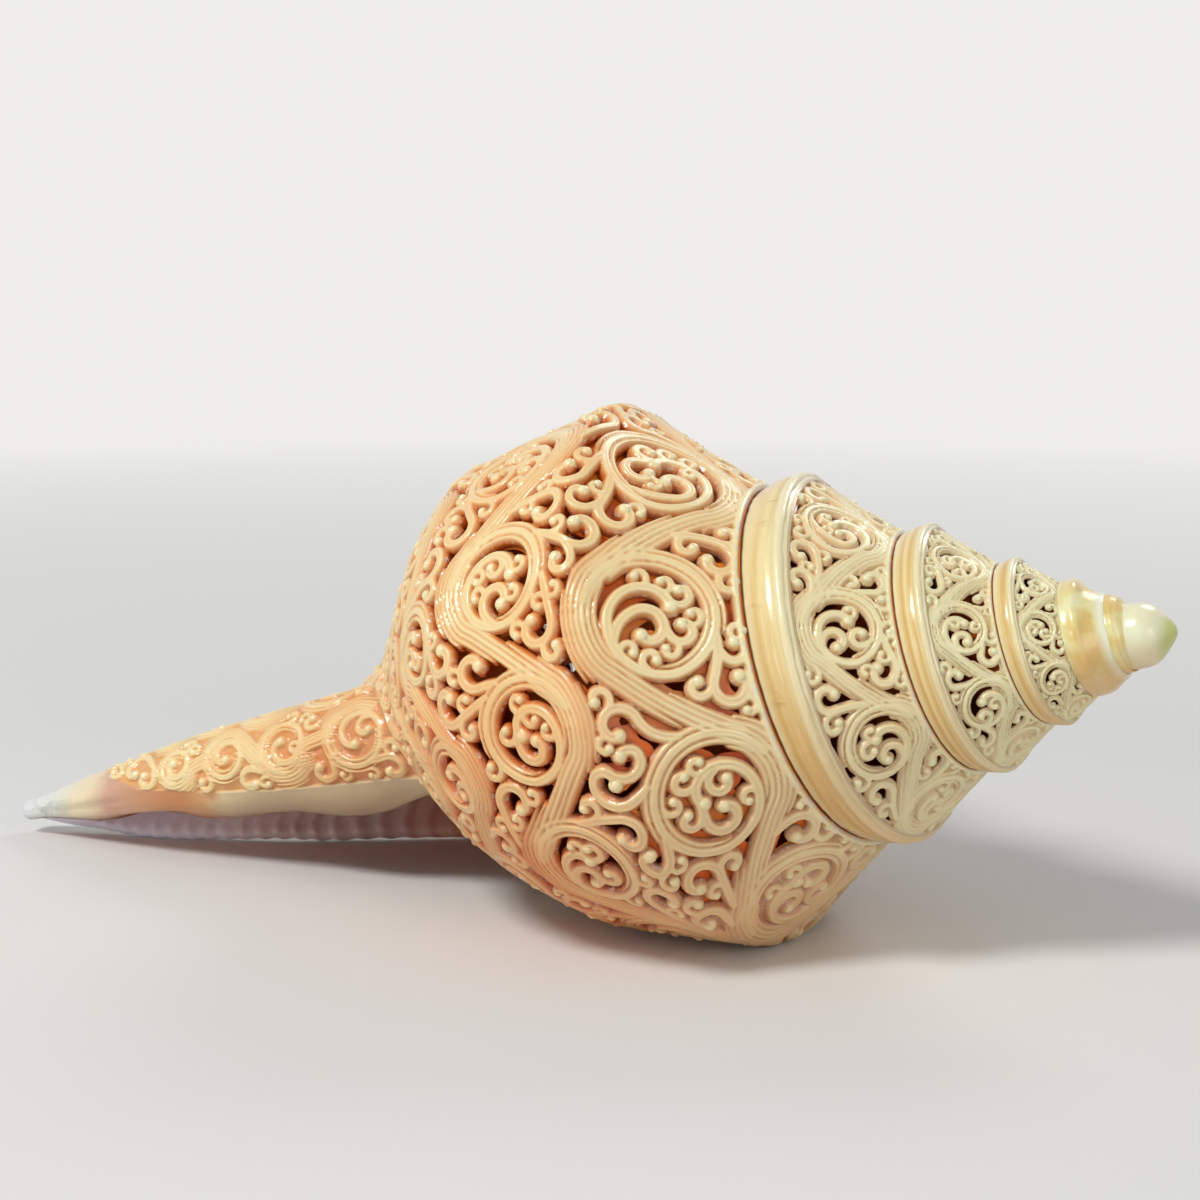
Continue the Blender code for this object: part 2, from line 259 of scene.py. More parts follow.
class Strip:
    """A fine grid over a strip of the surface: the height of the carving, and the room left at each spot."""

    def __init__(self, first, last, top, bottom, pitch, deep, radius=92.0):
        """From the first to the last growth angle and the top to the bottom depth, with a pitch in mm."""
        middle = float(size_at((first + last) / 2))
        columns = int((last - first) * radius * middle / pitch) + 1
        rows = max(int((bottom - top) * middle / pitch), 2) + 1
        self.angles, self.depths = np.linspace(first, last, columns), np.linspace(top, bottom, rows)
        self.points = surface(self.angles, self.depths)
        self.per_column, self.per_row = self.angles[1] - self.angles[0], self.depths[1] - self.depths[0]
        round_ = np.gradient(self.points, self.per_column, axis=0)
        down = np.gradient(self.points, self.per_row, axis=1)
        self.round_length = np.linalg.norm(round_, axis=2)
        ahead = round_ / self.round_length[..., None]
        self.lean = (down * ahead).sum(axis=2)
        across = down - self.lean[..., None] * ahead
        self.down_length = np.linalg.norm(across, axis=2)
        self.out = np.cross(ahead, across / self.down_length[..., None])
        self.size = size_at(self.angles)
        self.clear = np.full((columns, rows), FAR)
        self.height = np.full((columns, rows), -deep)
        self.veins, self.plain = np.zeros((columns, rows)), np.zeros((columns, rows))
        self.deep = deep
        self.ribs, self.balls = [], []
        # The depth colours the carving, with painted shade that darkens it the deeper it lies.
        self.tone = 1.0  # how strongly the depth of the carving colours it

    def cell(self, angle, depth):
        """The grid's columns and rows that are nearest to spots."""
        i = ((angle - self.angles[0]) / self.per_column + 0.5).astype(int)
        j = ((depth - self.depths[0]) / self.per_row + 0.5).astype(int)
        return np.clip(i, 0, len(self.angles) - 1), np.clip(j, 0, len(self.depths) - 1)

    def step(self, angle, depth, ahead, down):
        """The spots reached by going so many mm round the shell and down its outline."""
        i, j = self.cell(angle, depth)
        depth_step = down / self.down_length[i, j]
        return angle + (ahead - depth_step * self.lean[i, j]) / self.round_length[i, j], depth + depth_step

    def chart(self, angle, depth, x, y, steps=10):
        """The spots x and y mm from one spot, each reached straight over the surface."""
        angles, depths = np.full(x.shape, angle), np.full(x.shape, depth)
        for _ in range(steps):
            angles, depths = self.step(angles, depths, x / steps, y / steps)
        return angles, depths

    def position(self, angle, depth):
        """Where spots lie, in mm."""
        x = np.clip((angle - self.angles[0]) / self.per_column, 0, len(self.angles) - 1.001)
        y = np.clip((depth - self.depths[0]) / self.per_row, 0, len(self.depths) - 1.001)
        i, j = x.astype(int), y.astype(int)
        x, y = (x - i)[:, None], (y - j)[:, None]
        above = self.points[i, j] * (1 - x) + self.points[i + 1, j] * x
        below = self.points[i, j + 1] * (1 - x) + self.points[i + 1, j + 1] * x
        return above * (1 - y) + below * y

    def lengths(self, angle, depth):
        """How many mm round the shell and down its outline a path goes at each step."""
        i, j = self.cell(angle[:-1], depth[:-1])
        down = np.diff(depth)
        ahead = np.diff(angle) * self.round_length[i, j] + down * self.lean[i, j]
        return ahead, down * self.down_length[i, j]

    def headings(self, angle, depth):
        ahead, down = self.lengths(angle, depth)
        turn = np.arctan2(down, ahead)
        return np.append(turn, turn[-1])

    def even(self, angle, depth):
        """The same path with its spots an even distance apart."""
        run = np.concatenate([[0], np.cumsum(np.hypot(*self.lengths(angle, depth)))])
        at = np.linspace(0, run[-1], max(int(run[-1] / SPACING), 2) + 1)
        return np.interp(at, run, angle), np.interp(at, run, depth)

    def beside(self, angle, depth, distance):
        """The path that runs beside another."""
        turn = self.headings(angle, depth)
        return self.even(*self.step(angle, depth, -np.sin(turn) * distance, np.cos(turn) * distance))

    def raise_rib(self, angle, depth, half, lift=0.0, flat=2.0, vein=0.0, branches=True):
        """Raises a rib of a half width along a path, and notes it where curls may leave it.

        Its back is round where flat is 2, and the flatter the more. A vein is a groove along its middle,
        whose depth is a share of the half width.
        """
        half, lift = np.broadcast_to(half, angle.shape), np.broadcast_to(lift, angle.shape)
        spots = self.position(angle, depth)
        for start in range(0, len(angle), CHUNK):
            part = slice(start, start + CHUNK + 1)
            reach = half[part].max() + FAR
            i, j = self.cell(angle[part], depth[part])
            wide = int(reach / (self.round_length[i, j].min() * self.per_column)) + 1
            tall = int(reach / (self.down_length[i, j].min() * self.per_row)) + 1
            box = np.s_[max(i.min() - wide, 0):i.max() + wide + 1, max(j.min() - tall, 0):j.max() + tall + 1]
            away = np.sqrt(((self.points[box][:, :, None, :] - spots[part]) ** 2).sum(axis=3))
            w = half[part]
            self.clear[box] = np.minimum(self.clear[box], (away - w).min(axis=2))
            back = lift[part] - w * (1 - np.clip(1 - (away / w) ** flat, 0, 1) ** (1 / flat))
            back = np.where(away < w, back, -self.deep).max(axis=2)
            self.height[box] = np.maximum(self.height[box], back)
            if vein:
                groove = vein * w * np.exp(-((away / (VEIN_WIDTH * w)) ** 2))
                self.veins[box] = np.maximum(self.veins[box], groove.max(axis=2))
        if branches:
            self.ribs.append((angle, depth, half))

    def raise_ball(self, angle, depth, radius):
        """Raises the low mound on which a ball is set, and notes the ball."""
        self.balls.append((angle, depth, radius))
        angle, depth = np.array([angle]), np.array([depth])
        self.raise_rib(angle, depth, radius, lift=BALL_LIFT * radius, flat=BALL_FLAT, branches=False)

    def cut_back(self, seed, wear=WEAR):
        """Slopes the flanks down to the cut-back ground, and wears the whole a little uneven."""
        flank = np.maximum(-FLANK_TOP - FLANK_SLOPE * np.maximum(self.clear, 0), -self.deep)
        self.height = np.where(self.clear > 0, np.maximum(self.height, flank), self.height)
        padded = np.pad(self.height - self.veins, 1, mode="edge")
        across = (padded[:-2] + 10 * padded[1:-1] + padded[2:]) / 12
        self.height = (across[:, :-2] + 10 * across[:, 1:-1] + across[:, 2:]) / 12
        self.height = self.height * (1 - self.plain)
        self.wear = uneven(self.clear.shape, WEAR_CELL, wear, seed)


ENDS_THIN, THINS_OVER, THIN_EASE = 0.2, 30, 0.6  # share of the width at an end, over so many spots, how soon


def thinned(count):
    """Thins a rib of so many spots towards both of its ends."""
    from_end = np.minimum(np.arange(count), np.arange(count)[::-1])
    return ENDS_THIN + (1 - ENDS_THIN) * np.clip(from_end / THINS_OVER, 0, 1) ** THIN_EASE


def turned_by(way, x, y):
    return x * cos(way) - y * sin(way), x * sin(way) + y * cos(way)


VINE_FINE = 0.54  # a bundle's ribs are this much finer than a scroll
BENDS = np.radians([150, 120, 90, 60, 30])  # where the vine passes round a scroll
PER_BEND = 20  # spots from one of these to the next
BUNDLE = (-2.0, 0.0, 2.0)  # where its ribs run, in half widths beside its middle
SWELL, SWELL_SPOTS = 0.26, 17  # how much its ribs swell and shrink, and the spots per radian of that wave
BUNDLE_FALLS, OUTER_FALLS = 0.05, 0.06  # mm lower for each half width away from its middle
OUTER_WIDE = 1.1  # the ribs outside are this much wider
# The ribs outside and inside each bend: how many half widths away, and how many bends they reach either way.
OUTER_RIBS = ((4.0, 2.8), (6.0, 1.9), (8.0, 1.0), (-4.0, 1.7))
FLAT, RIDGED = 3.2, 1.3  # how flat the backs of scrolls and curls are, and those of a bundle's ribs


def carve_vine(strip, scrolls, half, way=0.0):
    """A wavy bundle of fine ribs, and in each bend a scroll: (angle, depth, radius in mm, side).

    The vine runs round the shell, or at an angle of way to that.
    """
    wave = []
    for angle, depth, radius, side in scrolls:
        x, y = radius * np.cos(BENDS), side * radius * np.sin(BENDS)
        wave += list(zip(*strip.chart(angle, depth, *turned_by(way, x, y))))
    wave = np.array(wave)
    weights = curve_weights(np.linspace(0, len(wave) - 1, PER_BEND * len(wave)), len(wave))
    spots = weights @ wave
    angle, depth = strip.even(*spots.T)
    fine = VINE_FINE * half
    for beside in BUNDLE:
        a, d = strip.beside(angle, depth, beside * fine)
        swell = 1 + SWELL * np.sin(np.arange(len(a)) / SWELL_SPOTS + beside)
        strip.raise_rib(a, d, fine * swell, lift=-BUNDLE_FALLS * abs(beside), flat=RIDGED)
    dice = np.random.default_rng(len(scrolls))
    for k, scroll in enumerate(scrolls):
        middle = int((k + 0.5) * len(BENDS) * PER_BEND)
        for outside, reach in OUTER_RIBS:
            shift = dice.uniform(-0.5, 0.5)
            from_, to = (int(middle + (shift + r) * PER_BEND) for r in (-reach, reach))
            a, d = strip.even(*spots[max(from_, 0):to].T)
            a, d = strip.beside(a, d, outside * fine * scroll[3])
            wide = fine * OUTER_WIDE * thinned(len(a))
            strip.raise_rib(a, d, wide, lift=-OUTER_FALLS * abs(outside), flat=RIDGED)
        carve_scroll(strip, *scroll, half, way, dice)


RING_TURN, RING_START, RING_CLOSES = 1.35 * pi, radians(75), 0.13  # the last is a share of its radius
ROLLS, ROLLS_BY = (1.1, 1.6), (0.62, 0.84)  # half turns within the ring, and by which share it then closes in
SCROLL_BALL = 1.45  # a ball is this much thicker than its scroll
SCROLL_SPOTS = 400
SIDE_RIBS = ((-1.5, 0.02, 0.62), (1.5, 0.05, 0.45))  # beside a ring: (half widths, from and to which share)


def carve_scroll(strip, angle, depth, radius, side, half, way, dice):
    """Leaves the vine, closes a ring and rolls inwards to a ball, with finer ribs beside the ring."""
    rolled, reach = dice.uniform(*ROLLS) * pi, dice.uniform(*ROLLS_BY)
    turned = np.linspace(0, RING_TURN + rolled, SCROLL_SPOTS)
    ring = 1 - RING_CLOSES * np.clip(turned / RING_TURN, 0, 1)
    inward = 1 - reach * np.clip((turned - RING_TURN) / rolled, 0, 1)
    turn = RING_START - turned
    x, y = radius * ring * inward * np.cos(turn), side * radius * ring * inward * np.sin(turn)
    a, d = strip.even(*strip.chart(angle, depth, *turned_by(way, x, y)))
    strip.raise_rib(a, d, half * np.linspace(0.7, 1.05, len(a)), flat=FLAT, vein=VEIN)
    strip.raise_ball(a[-1], d[-1], SCROLL_BALL * half)
    for offset, first, last in SIDE_RIBS:
        part = slice(int(len(a) * first), int(len(a) * last))
        beside_a, beside_d = strip.beside(a[part], d[part], side * half * offset)
        fine = VINE_FINE * half * thinned(len(beside_a))
        strip.raise_rib(beside_a, beside_d, fine, lift=-0.15, flat=RIDGED)


CURL_LEAN = 0.42  # rad between a curl's stem and the rib that it leaves
CURL_ROLL = 1.55 * pi
CURL_OPEN, CURL_TIGHTENS = 1.5, 0.9  # its radius where it begins to roll, and by how much that shrinks
ROOT_GAIN, ROOT_SLACK = 0.45, 0.65  # mm: what a curl's room gains away from its root, and the slack it has
ROOT_STEP = 3  # spots of a rib from one try to the next
STEM_BENDS = (-0.04, 0.0, 0.04, 0.08)  # rad per mm
ROLLS_IN = 0.3  # mm of room by which a curl that rolls on the way it leaves is favoured
CURL_BALL = 1.4  # a ball is this much thicker than its curl


def curl_turning(loop, stem, bend):
    """How sharply a curl turns at each spot: along its stem, then in a loop that tightens to its ball."""
    turned, turning = 0.0, [bend] * int(stem / SPACING)
    while turned < CURL_ROLL:
        radius = loop * (CURL_OPEN - CURL_TIGHTENS * turned / CURL_ROLL)
        turning.append(1 / radius)
        turned += SPACING / radius
    return turning


def curl_room(count, parent_half, half, gap):
    """The room each spot of a curl needs round it, which is less near its root."""
    root_spots = (parent_half + half + gap) / sin(CURL_LEAN) / SPACING
    share = np.clip(np.arange(1, count + 1)[:, None] / root_spots, 0, 1)
    rooted = (half + gap + ROOT_GAIN + parent_half) * share - parent_half - ROOT_SLACK
    return np.where(share < 1, rooted, half + gap)


def carve_curls(strip, loop, stem, half, gap, dice, margin, backward=False):
    """Tries curls of one size all along the ribs, and keeps those that fit, the snuggest first."""
    roots = []
    for angle, depth, width in strip.ribs:
        if len(angle) > 8:
            turn = strip.headings(angle, depth) + (pi if backward else 0)
            at = np.arange(2 + dice.integers(ROOT_STEP), len(angle) - ROOT_STEP, ROOT_STEP)
            roots.append(np.stack([angle[at], depth[at], turn[at], width[at]], axis=-1))
    roots = np.concatenate(roots)
    fitting = []
    for side, roll, bend in [(s, r, b) for s in (1, -1) for r in (1, -1) for b in STEM_BENDS]:
        turning = np.array(curl_turning(loop, stem, bend * roll)) * roll * side
        room = curl_room(len(turning), roots[:, 3], half, gap)
        a, d, heading = roots[:, 0], roots[:, 1], roots[:, 2] + side * CURL_LEAN
        path = np.empty((len(turning), 2, len(roots)))
        alive, slack = np.arange(len(roots)), np.zeros(len(roots))
        for k, turn in enumerate(turning):
            path[k, 0, alive], path[k, 1, alive] = a, d
            i, j = strip.cell(a, d)
            slack[alive] += strip.clear[i, j]
            edge = margin * strip.size[i]
            good = (strip.clear[i, j] >= room[k, alive]) & (a > strip.angles[0]) & (a < strip.angles[-1])
            good &= (d > strip.depths[0] + edge) & (d < strip.depths[-1] - edge)
            alive, a, d, heading = alive[good], a[good], d[good], heading[good]
            if not len(alive):
                break
            a, d = strip.step(a, d, np.cos(heading) * SPACING, np.sin(heading) * SPACING)
            heading = heading + turn * SPACING
        for c in alive:
            loose = slack[c] / len(turning) - ROLLS_IN * (roll > 0)
            fitting.append((loose, len(fitting), path[:, :, c], room[:, c]))
    fitting.sort(key=lambda item: item[:2])
    for _, _, path, room in fitting:
        a, d = path.T
        if (strip.clear[strip.cell(a, d)] >= room).all():
            swell = np.interp(np.arange(len(a)), [0, 8, len(a)], [0.7, 1.0, 1.1])
            strip.raise_rib(a, d, half * swell, lift=-0.1, flat=FLAT, vein=VEIN)
            strip.raise_ball(a[-1], d[-1], CURL_BALL * half)


# Curls from the largest to the smallest, in mm at growth angle 0: (loop radius, stem length, half width).
CURLS = [
    (4.2, 14, 1.6), (3.8, 7, 1.6), (3.5, 18, 1.55), (3.5, 3, 1.55), (3.1, 10, 1.5), (3.1, 4, 1.5),
    (2.8, 8, 1.4), (2.8, 3, 1.4), (2.5, 5, 1.3), (2.3, 2, 1.3), (2.0, 3, 1.15), (1.8, 1, 1.05),
]
BOTH_WAYS = 3.5  # mm, below which curls leave a rib backwards too


def fill_with_curls(strip, scale, seed, gap=0.55, margin=1.0):
    """Fills the room that is left with curls, the largest first."""
    dice = np.random.default_rng(seed)
    for loop, stem, half in CURLS:
        sizes = (loop * scale, stem * scale, half * scale, gap * scale)
        carve_curls(strip, *sizes, dice, margin)
        if loop < BOTH_WAYS:
            carve_curls(strip, *sizes, dice, margin, backward=True)


# ---------------------------------------------------------------------------------------------------------
# From the carving to a mesh: an outer skin with holes, and the walls of the holes down through the shell.
# Each piece is cut clean out of its strip's grid, and its points say what the materials need to know of it.
HOLE_EDGE, NO_HOLES = 0.55, 9.0  # mm from a rib to the edge of a hole, and so far that there is none
INSET = 0.00002  # keeps every point within the solid's box
SHARP = radians(62)
# What a point's columns after x, y and z say: how high it lies against the ribs' backs in mm, how far it is
# left uncarved, how far round the shell it is in mm, and how far down the outline of a full-sized turn.
FACTS = ("relief", "plain", "round", "down")
ROUND_RADIUS = 90.0  # mm, the radius of a full-sized turn at which round is measured
# A hole's wall is coloured darkest at its foot: painted shade deep in the hole.
HOLE_RELIEF = -4.0  # mm, what the relief of a hole's wall comes to at its foot


def skin(keep, points):
    """The part of a grid of points where keep is positive, cut off clean where it crosses zero.

    Returns all points, the faces as arrays of one length each, and the cut's edges, face on their left.
    """
    columns, rows = keep.shape
    number = np.arange(columns * rows).reshape(columns, rows)
    ahead_ids = columns * rows + np.arange((columns - 1) * rows).reshape(columns - 1, rows)
    down_ids = ahead_ids[-1, -1] + 1 + np.arange(columns * (rows - 1)).reshape(columns, rows - 1)

    def crossing(a, b, from_, to):
        share = np.clip(np.abs(a) / np.maximum(np.abs(a) + np.abs(b), 1e-9), 0.02, 0.98)[..., None]
        return (from_ * (1 - share) + to * share).reshape(-1, points.shape[-1])

    everything = np.concatenate([
        points.reshape(-1, points.shape[-1]),
        crossing(keep[:-1], keep[1:], points[:-1], points[1:]),
        crossing(keep[:, :-1], keep[:, 1:], points[:, :-1], points[:, 1:]),
    ])
    corners = (number[:-1, :-1], number[1:, :-1], number[1:, 1:], number[:-1, 1:])
    edges = (ahead_ids[:, :-1], down_ids[1:], ahead_ids[:, 1:], down_ids[:-1])
    inside = (keep > 0).astype(int)
    case = inside[:-1, :-1] + 2 * inside[1:, :-1] + 4 * inside[1:, 1:] + 8 * inside[:-1, 1:]
    faces, cuts = [], [np.zeros((0, 2), int)]
    for pattern in range(1, 16):
        here = case == pattern
        ring = []
        for k in range(4):
            held, next_held = pattern >> k & 1, pattern >> (k + 1) % 4 & 1
            if held:
                ring.append((corners[k][here], False))
            if held != next_held:
                ring.append((edges[k][here], True))
        faces.append(np.stack([ids for ids, _ in ring], axis=-1))
        for (p, p_cut), (q, q_cut) in zip(ring, ring[1:] + ring[:1]):
            if p_cut and q_cut:
                cuts.append(np.stack([p, q], axis=-1))
    return everything, faces, np.concatenate(cuts)


def add_piece(name, mesh):
    """Puts a finished mesh in the scene as one visible piece of the shell."""
    piece = bpy.data.objects.new(name, mesh)
    bpy.context.scene.collection.objects.link(piece)
    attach(piece, "root")
    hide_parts("shell")


def new_piece(name, points, faces, material):
    """An object from points in mm, with what their further columns say of them, and arrays of faces."""
    faces = [part for part in faces if len(part)]
    used = np.unique(np.concatenate([part.ravel() for part in faces]))
    renumbered = np.zeros(len(points), int)
    renumbered[used] = np.arange(len(used))
    points = points[used]
    corners = renumbered[np.concatenate([part.ravel() for part in faces])]
    sizes = np.concatenate([np.full(len(part), part.shape[1]) for part in faces])
    mesh = bpy.data.meshes.new(name)
    mesh.vertices.add(len(points))
    places = np.clip(points[:, :3] * MM, np.array(cad_box[0]) + INSET, np.array(cad_box[1]) - INSET)
    mesh.vertices.foreach_set("co", places.ravel())
    mesh.loops.add(len(corners))
    mesh.loops.foreach_set("vertex_index", corners)
    mesh.polygons.add(len(sizes))
    mesh.polygons.foreach_set("loop_start", np.concatenate([[0], np.cumsum(sizes)[:-1]]))
    mesh.update(calc_edges=True)
    for fact, values in zip(FACTS, points[:, 3:].T):
        mesh.attributes.new(fact, "FLOAT", "POINT").data.foreach_set("value", values.astype(np.float32))
    mesh.materials.append(material)
    mesh.shade_smooth()
    mesh.set_sharp_from_angle(angle=SHARP)
    add_piece(name, mesh)


def grid_faces(columns, rows, around=False):
    """Quads over a grid of points; around joins the last column to the first."""
    number = np.arange(columns * rows).reshape(columns, rows)
    if around:
        number = np.vstack([number, number[:1]])
    quads = np.stack([number[:-1, :-1], number[1:, :-1], number[1:, 1:], number[:-1, 1:]], axis=-1)
    return quads.reshape(-1, 4)


def facts(strip, relief):
    """The further columns of a strip's points."""
    shape = strip.clear.shape
    round_mm = strip.angles[:, None] * ROUND_RADIUS * strip.size[:, None]
    values = (relief, strip.plain, round_mm, strip.depths)
    return np.stack([np.broadcast_to(value, shape) for value in values], axis=-1)


def carved_piece(name, strip, part, hole_edge, wall, material):
    """The carved skin of a part of a strip, with the walls of its holes."""
    height = (strip.height + strip.wear)[..., None]
    inner = strip.points - np.broadcast_to(wall, strip.clear.shape)[..., None] * strip.out
    outer = strip.points + height * strip.out
    columns = np.concatenate([outer, facts(strip, strip.tone * strip.height), inner], axis=2)
    points, faces, cuts = skin((hole_edge - strip.clear)[part], columns[part])
    outer, foot = points[:, :7], points[:, 7:]
    ends = np.unique(cuts)
    foot_of = np.zeros(len(points), int)
    foot_of[ends] = len(points) + np.arange(len(ends))
    feet = np.concatenate([foot[ends], outer[ends, 3:]], axis=1)
    feet[:, 3] = HOLE_RELIEF
    walls = np.column_stack([cuts[:, 1], cuts[:, 0], foot_of[cuts[:, 0]], foot_of[cuts[:, 1]]])
    new_piece(name, np.concatenate([outer, feet]), faces + [walls], material)


# ---------------------------------------------------------------------------------------------------------
# The carved skin's finish: shell lime, cut and polished by hand. The ribs' backs are cream, their flanks
# apricot and the cuts between them orange, with painted shade that darkens them the deeper they lie, and pale
# dust of the carving stays in the corners.
def linear(hex_colour):
    """An sRGB hex colour as the linear values that a shader takes."""
    parts = [int(hex_colour[i:i + 2], 16) / 255 for i in (1, 3, 5)]
    return (*[c / 12.92 if c <= 0.04045 else ((c + 0.055) / 1.055) ** 2.4 for c in parts], 1.0)


def add(tree, kind, inputs=None, out=0, stops=(), **settings):
    """Adds a node with its settings, its links and a ramp's stops, and gives one of its outputs.

    An input is a value, a hex colour or the socket that feeds it. A short kind is a shader node's.
    """
    node = tree.nodes.new(kind if "Node" in kind else "ShaderNode" + kind)
    for name, value in settings.items():
        setattr(node, name, value)
    for key, value in (inputs or {}).items():
        if isinstance(value, bpy.types.NodeSocket):
            tree.links.new(value, node.inputs[key])
        else:
            colour = isinstance(value, str) and value[0] == "#"
            node.inputs[key].default_value = linear(value) if colour else value
    if stops:
        elements = node.color_ramp.elements
        while len(elements) < len(stops):
            elements.new(0.5)
        for element, (place, colour) in zip(elements, stops):
            element.position, element.color = place, linear(colour)
    return node.outputs[out] if node.outputs else None


def zone(tree, *ranges, most=1.0):
    """Rises from 0 to most where every (value, low, high) rises from its low to its high."""
    for value, low, high in ranges:
        most = add(tree, "MapRange", {0: value, 1: low, 2: high, 4: most})
    return most


def stains(tree, place, size_mm, low=0.0, high=1.0, most=1.0, detail=3.0, roughness=0.5):
    """Random patches of a size: from 0 to most, where their noise rises from low to high."""
    inputs = {"Vector": place, "Scale": 1 / (size_mm * MM), "Detail": detail, "Roughness": roughness}
    return zone(tree, (add(tree, "TexNoise", inputs), low, high), most=most)


def painted(tree, colour, *coats):
    """A colour with coats laid over it in turn: (where, colour), or (where, colour, how they blend)."""
    for where, coat, *blend in coats:
        inputs = {0: where, 6: colour, 7: coat}
        colour = add(tree, "Mix", inputs, 2, data_type="RGBA", blend_type=blend[0] if blend else "MIX")
    return colour


def new_material(name, roughness, coat=0.0, translucence=0.0):
    """A material's tree, with its shader and the object's own coordinates."""
    material = bpy.data.materials.new(name)
    material.use_nodes = True
    tree = material.node_tree
    shader = tree.nodes["Principled BSDF"]
    for key, value in {
        "Roughness": roughness, "IOR": 1.56, "Coat Weight": coat, "Coat Roughness": 0.12,
        "Subsurface Weight": translucence, "Subsurface Radius": (1.0, 0.45, 0.2), "Subsurface Scale": 0.003,
    }.items():
        shader.inputs[key].default_value = value
    return material, tree, shader, add(tree, "TexCoord", out="Object")


def finish_material(tree, shader, colour, marks, strength, deep_mm):
    """Gives a shader its colour, and a bump from marks so deep."""
    bump = add(tree, "Bump", {"Height": marks, "Strength": strength, "Distance": deep_mm * MM})
    tree.links.new(colour, shader.inputs["Base Color"])
    tree.links.new(bump, shader.inputs["Normal"])


def carved_lime():
    material, tree, shader, place = new_material("carved shell lime", 0.3, coat=0.3, translucence=0.15)
    relief, plain, round_mm, down = (add(tree, "Attribute", out="Fac", attribute_name=fact) for fact in FACTS)
    along = add(tree, "SeparateXYZ", {0: place}, "X")
    up = along.node.outputs["Z"]
    # By depth: dark orange in the holes' walls, orange where it is cut back, apricot flanks and cream backs.
    # The cream over orange is the shell's own; how much darker it grows with depth is painted shade in
    # recesses and holes.
    height = zone(tree, (relief, HOLE_RELIEF, 0.4))
    cut = add(tree, "ValToRGB", {0: height}, stops=[
        (0.0, "#8A3508"), (0.39, "#CC6C28"), (0.63, "#E09A54"), (0.76, "#EDBB7C"), (0.86, "#F4D79B"),
        (0.95, "#F8E6B4"),
    ])
    # Lower down, as it lies, the shell is darker and more apricot, most of all in the cuts: painted shade of
    # its underside. It is pale yellow towards the apex.
    apricot = add(tree, "ValToRGB", {0: height}, stops=[
        (0.0, "#E48458"), (0.6, "#E28858"), (0.78, "#EAB08A"), (0.92, "#F6D4B4"),
    ])
    low = zone(tree, (up, 0.10, 0.015), (along, -0.10, -0.06), most=0.75)
    # Where it was never carved the shell has a beige glaze, stained orange, and a chalky tip.
    wander = stains(tree, place, 14.0, 0.3, 0.7, 0.008, detail=4.0)
    wander = add(tree, "Math", {0: along, 1: wander}, operation="ADD")
    glaze = add(tree, "ValToRGB", {0: zone(tree, (wander, -0.203, -0.083))}, stops=[
        (0.0, "#DCE2E4"), (0.12, "#E2E2D6"), (0.25, "#ECDAB2"), (0.37, "#D2A288"), (0.50, "#D0966A"),
        (0.62, "#CC8752"), (0.73, "#DDA66C"), (0.78, "#DEC99C"), (1.0, "#C9B088"),
    ])
    # Darker round towards the canal's lower edge: painted shade.
    shaded = zone(tree, (round_mm, -200.0, -236.0), (along, -0.03, -0.06))
    grey = stains(tree, place, 6.0, 0.52, 0.64, 0.7, detail=5.0)
    grey = zone(tree, (along, -0.178, -0.197), most=grey)
    glaze = painted(tree, glaze, (shaded, "#B69A90", "MULTIPLY"), (grey, "#A9A9A4"))
    # Pale dust stays in the corners, and along the seam the lime is chalky.
    dust = stains(tree, place, 2.4, 0.55, 0.66, 0.65, detail=4.0, roughness=0.6)
    dust = zone(tree, (relief, -0.8, -1.7), (relief, -3.0, -2.4), most=dust)
    chalk = zone(tree, (down, 2.4, 1.2), most=stains(tree, place, 5.0, 0.46, 0.56, detail=4.0, roughness=0.7))
    warm, yellow = stains(tree, place, 40.0, 0.48, 0.66, 0.55), zone(tree, (along, 0.04, 0.14), most=0.55)
    colour = painted(
        tree, cut, (low, apricot, "MULTIPLY"), (warm, "#FFD9B0", "MULTIPLY"), (yellow, "#E3E8BE"),
        (plain, glaze), (dust, "#E4DCC8"), (chalk, "#DDD6C2"),
    )
    finish_material(tree, shader, colour, stains(tree, place, 1.6), 0.25, 0.4)
    return material


LIME = carved_lime()


# ---------------------------------------------------------------------------------------------------------
# The last turn's carving: one sheet from the seam over the keel and the corner down to the canal's neck,
# with a row of eight scrolls a turn above the keel, eleven on the side and two smaller rows below.
def row_of_scrolls(first, last, start, per_turn, depth, radius, sway=1.0):
    """(angle, depth, radius, side) of the scrolls of one row that stand between two growth angles."""
    scrolls = []
    for k in range(-40, 40):
        angle = start + k * TURN / per_turn
        if first < angle < last:
            side = 1 if k % 2 else -1
            scrolls.append((angle, depth + side * sway, radius * float(size_at(angle)), side))
    return scrolls


def new_tree(name, **inputs):
    """A Geometry Nodes tree with a geometry and named inputs: the tree, and the sockets that hold them."""
    tree = bpy.data.node_groups.new(name, "GeometryNodeTree")
    tree.is_modifier = True
    tree.interface.new_socket("Geometry", in_out="INPUT", socket_type="NodeSocketGeometry")
    for key, kind in inputs.items():
        tree.interface.new_socket(key.replace("_", " "), in_out="INPUT", socket_type="NodeSocket" + kind)
    tree.interface.new_socket("Geometry", in_out="OUTPUT", socket_type="NodeSocketGeometry")
    return tree, add(tree, "NodeGroupInput").node.outputs


def finish_tree(tree, geometry, material):
    real = add(tree, "GeometryNodeRealizeInstances", {"Geometry": geometry})
    coloured = add(tree, "GeometryNodeSetMaterial", {"Geometry": real, "Material": material})
    add(tree, "NodeGroupOutput", {"Geometry": coloured})


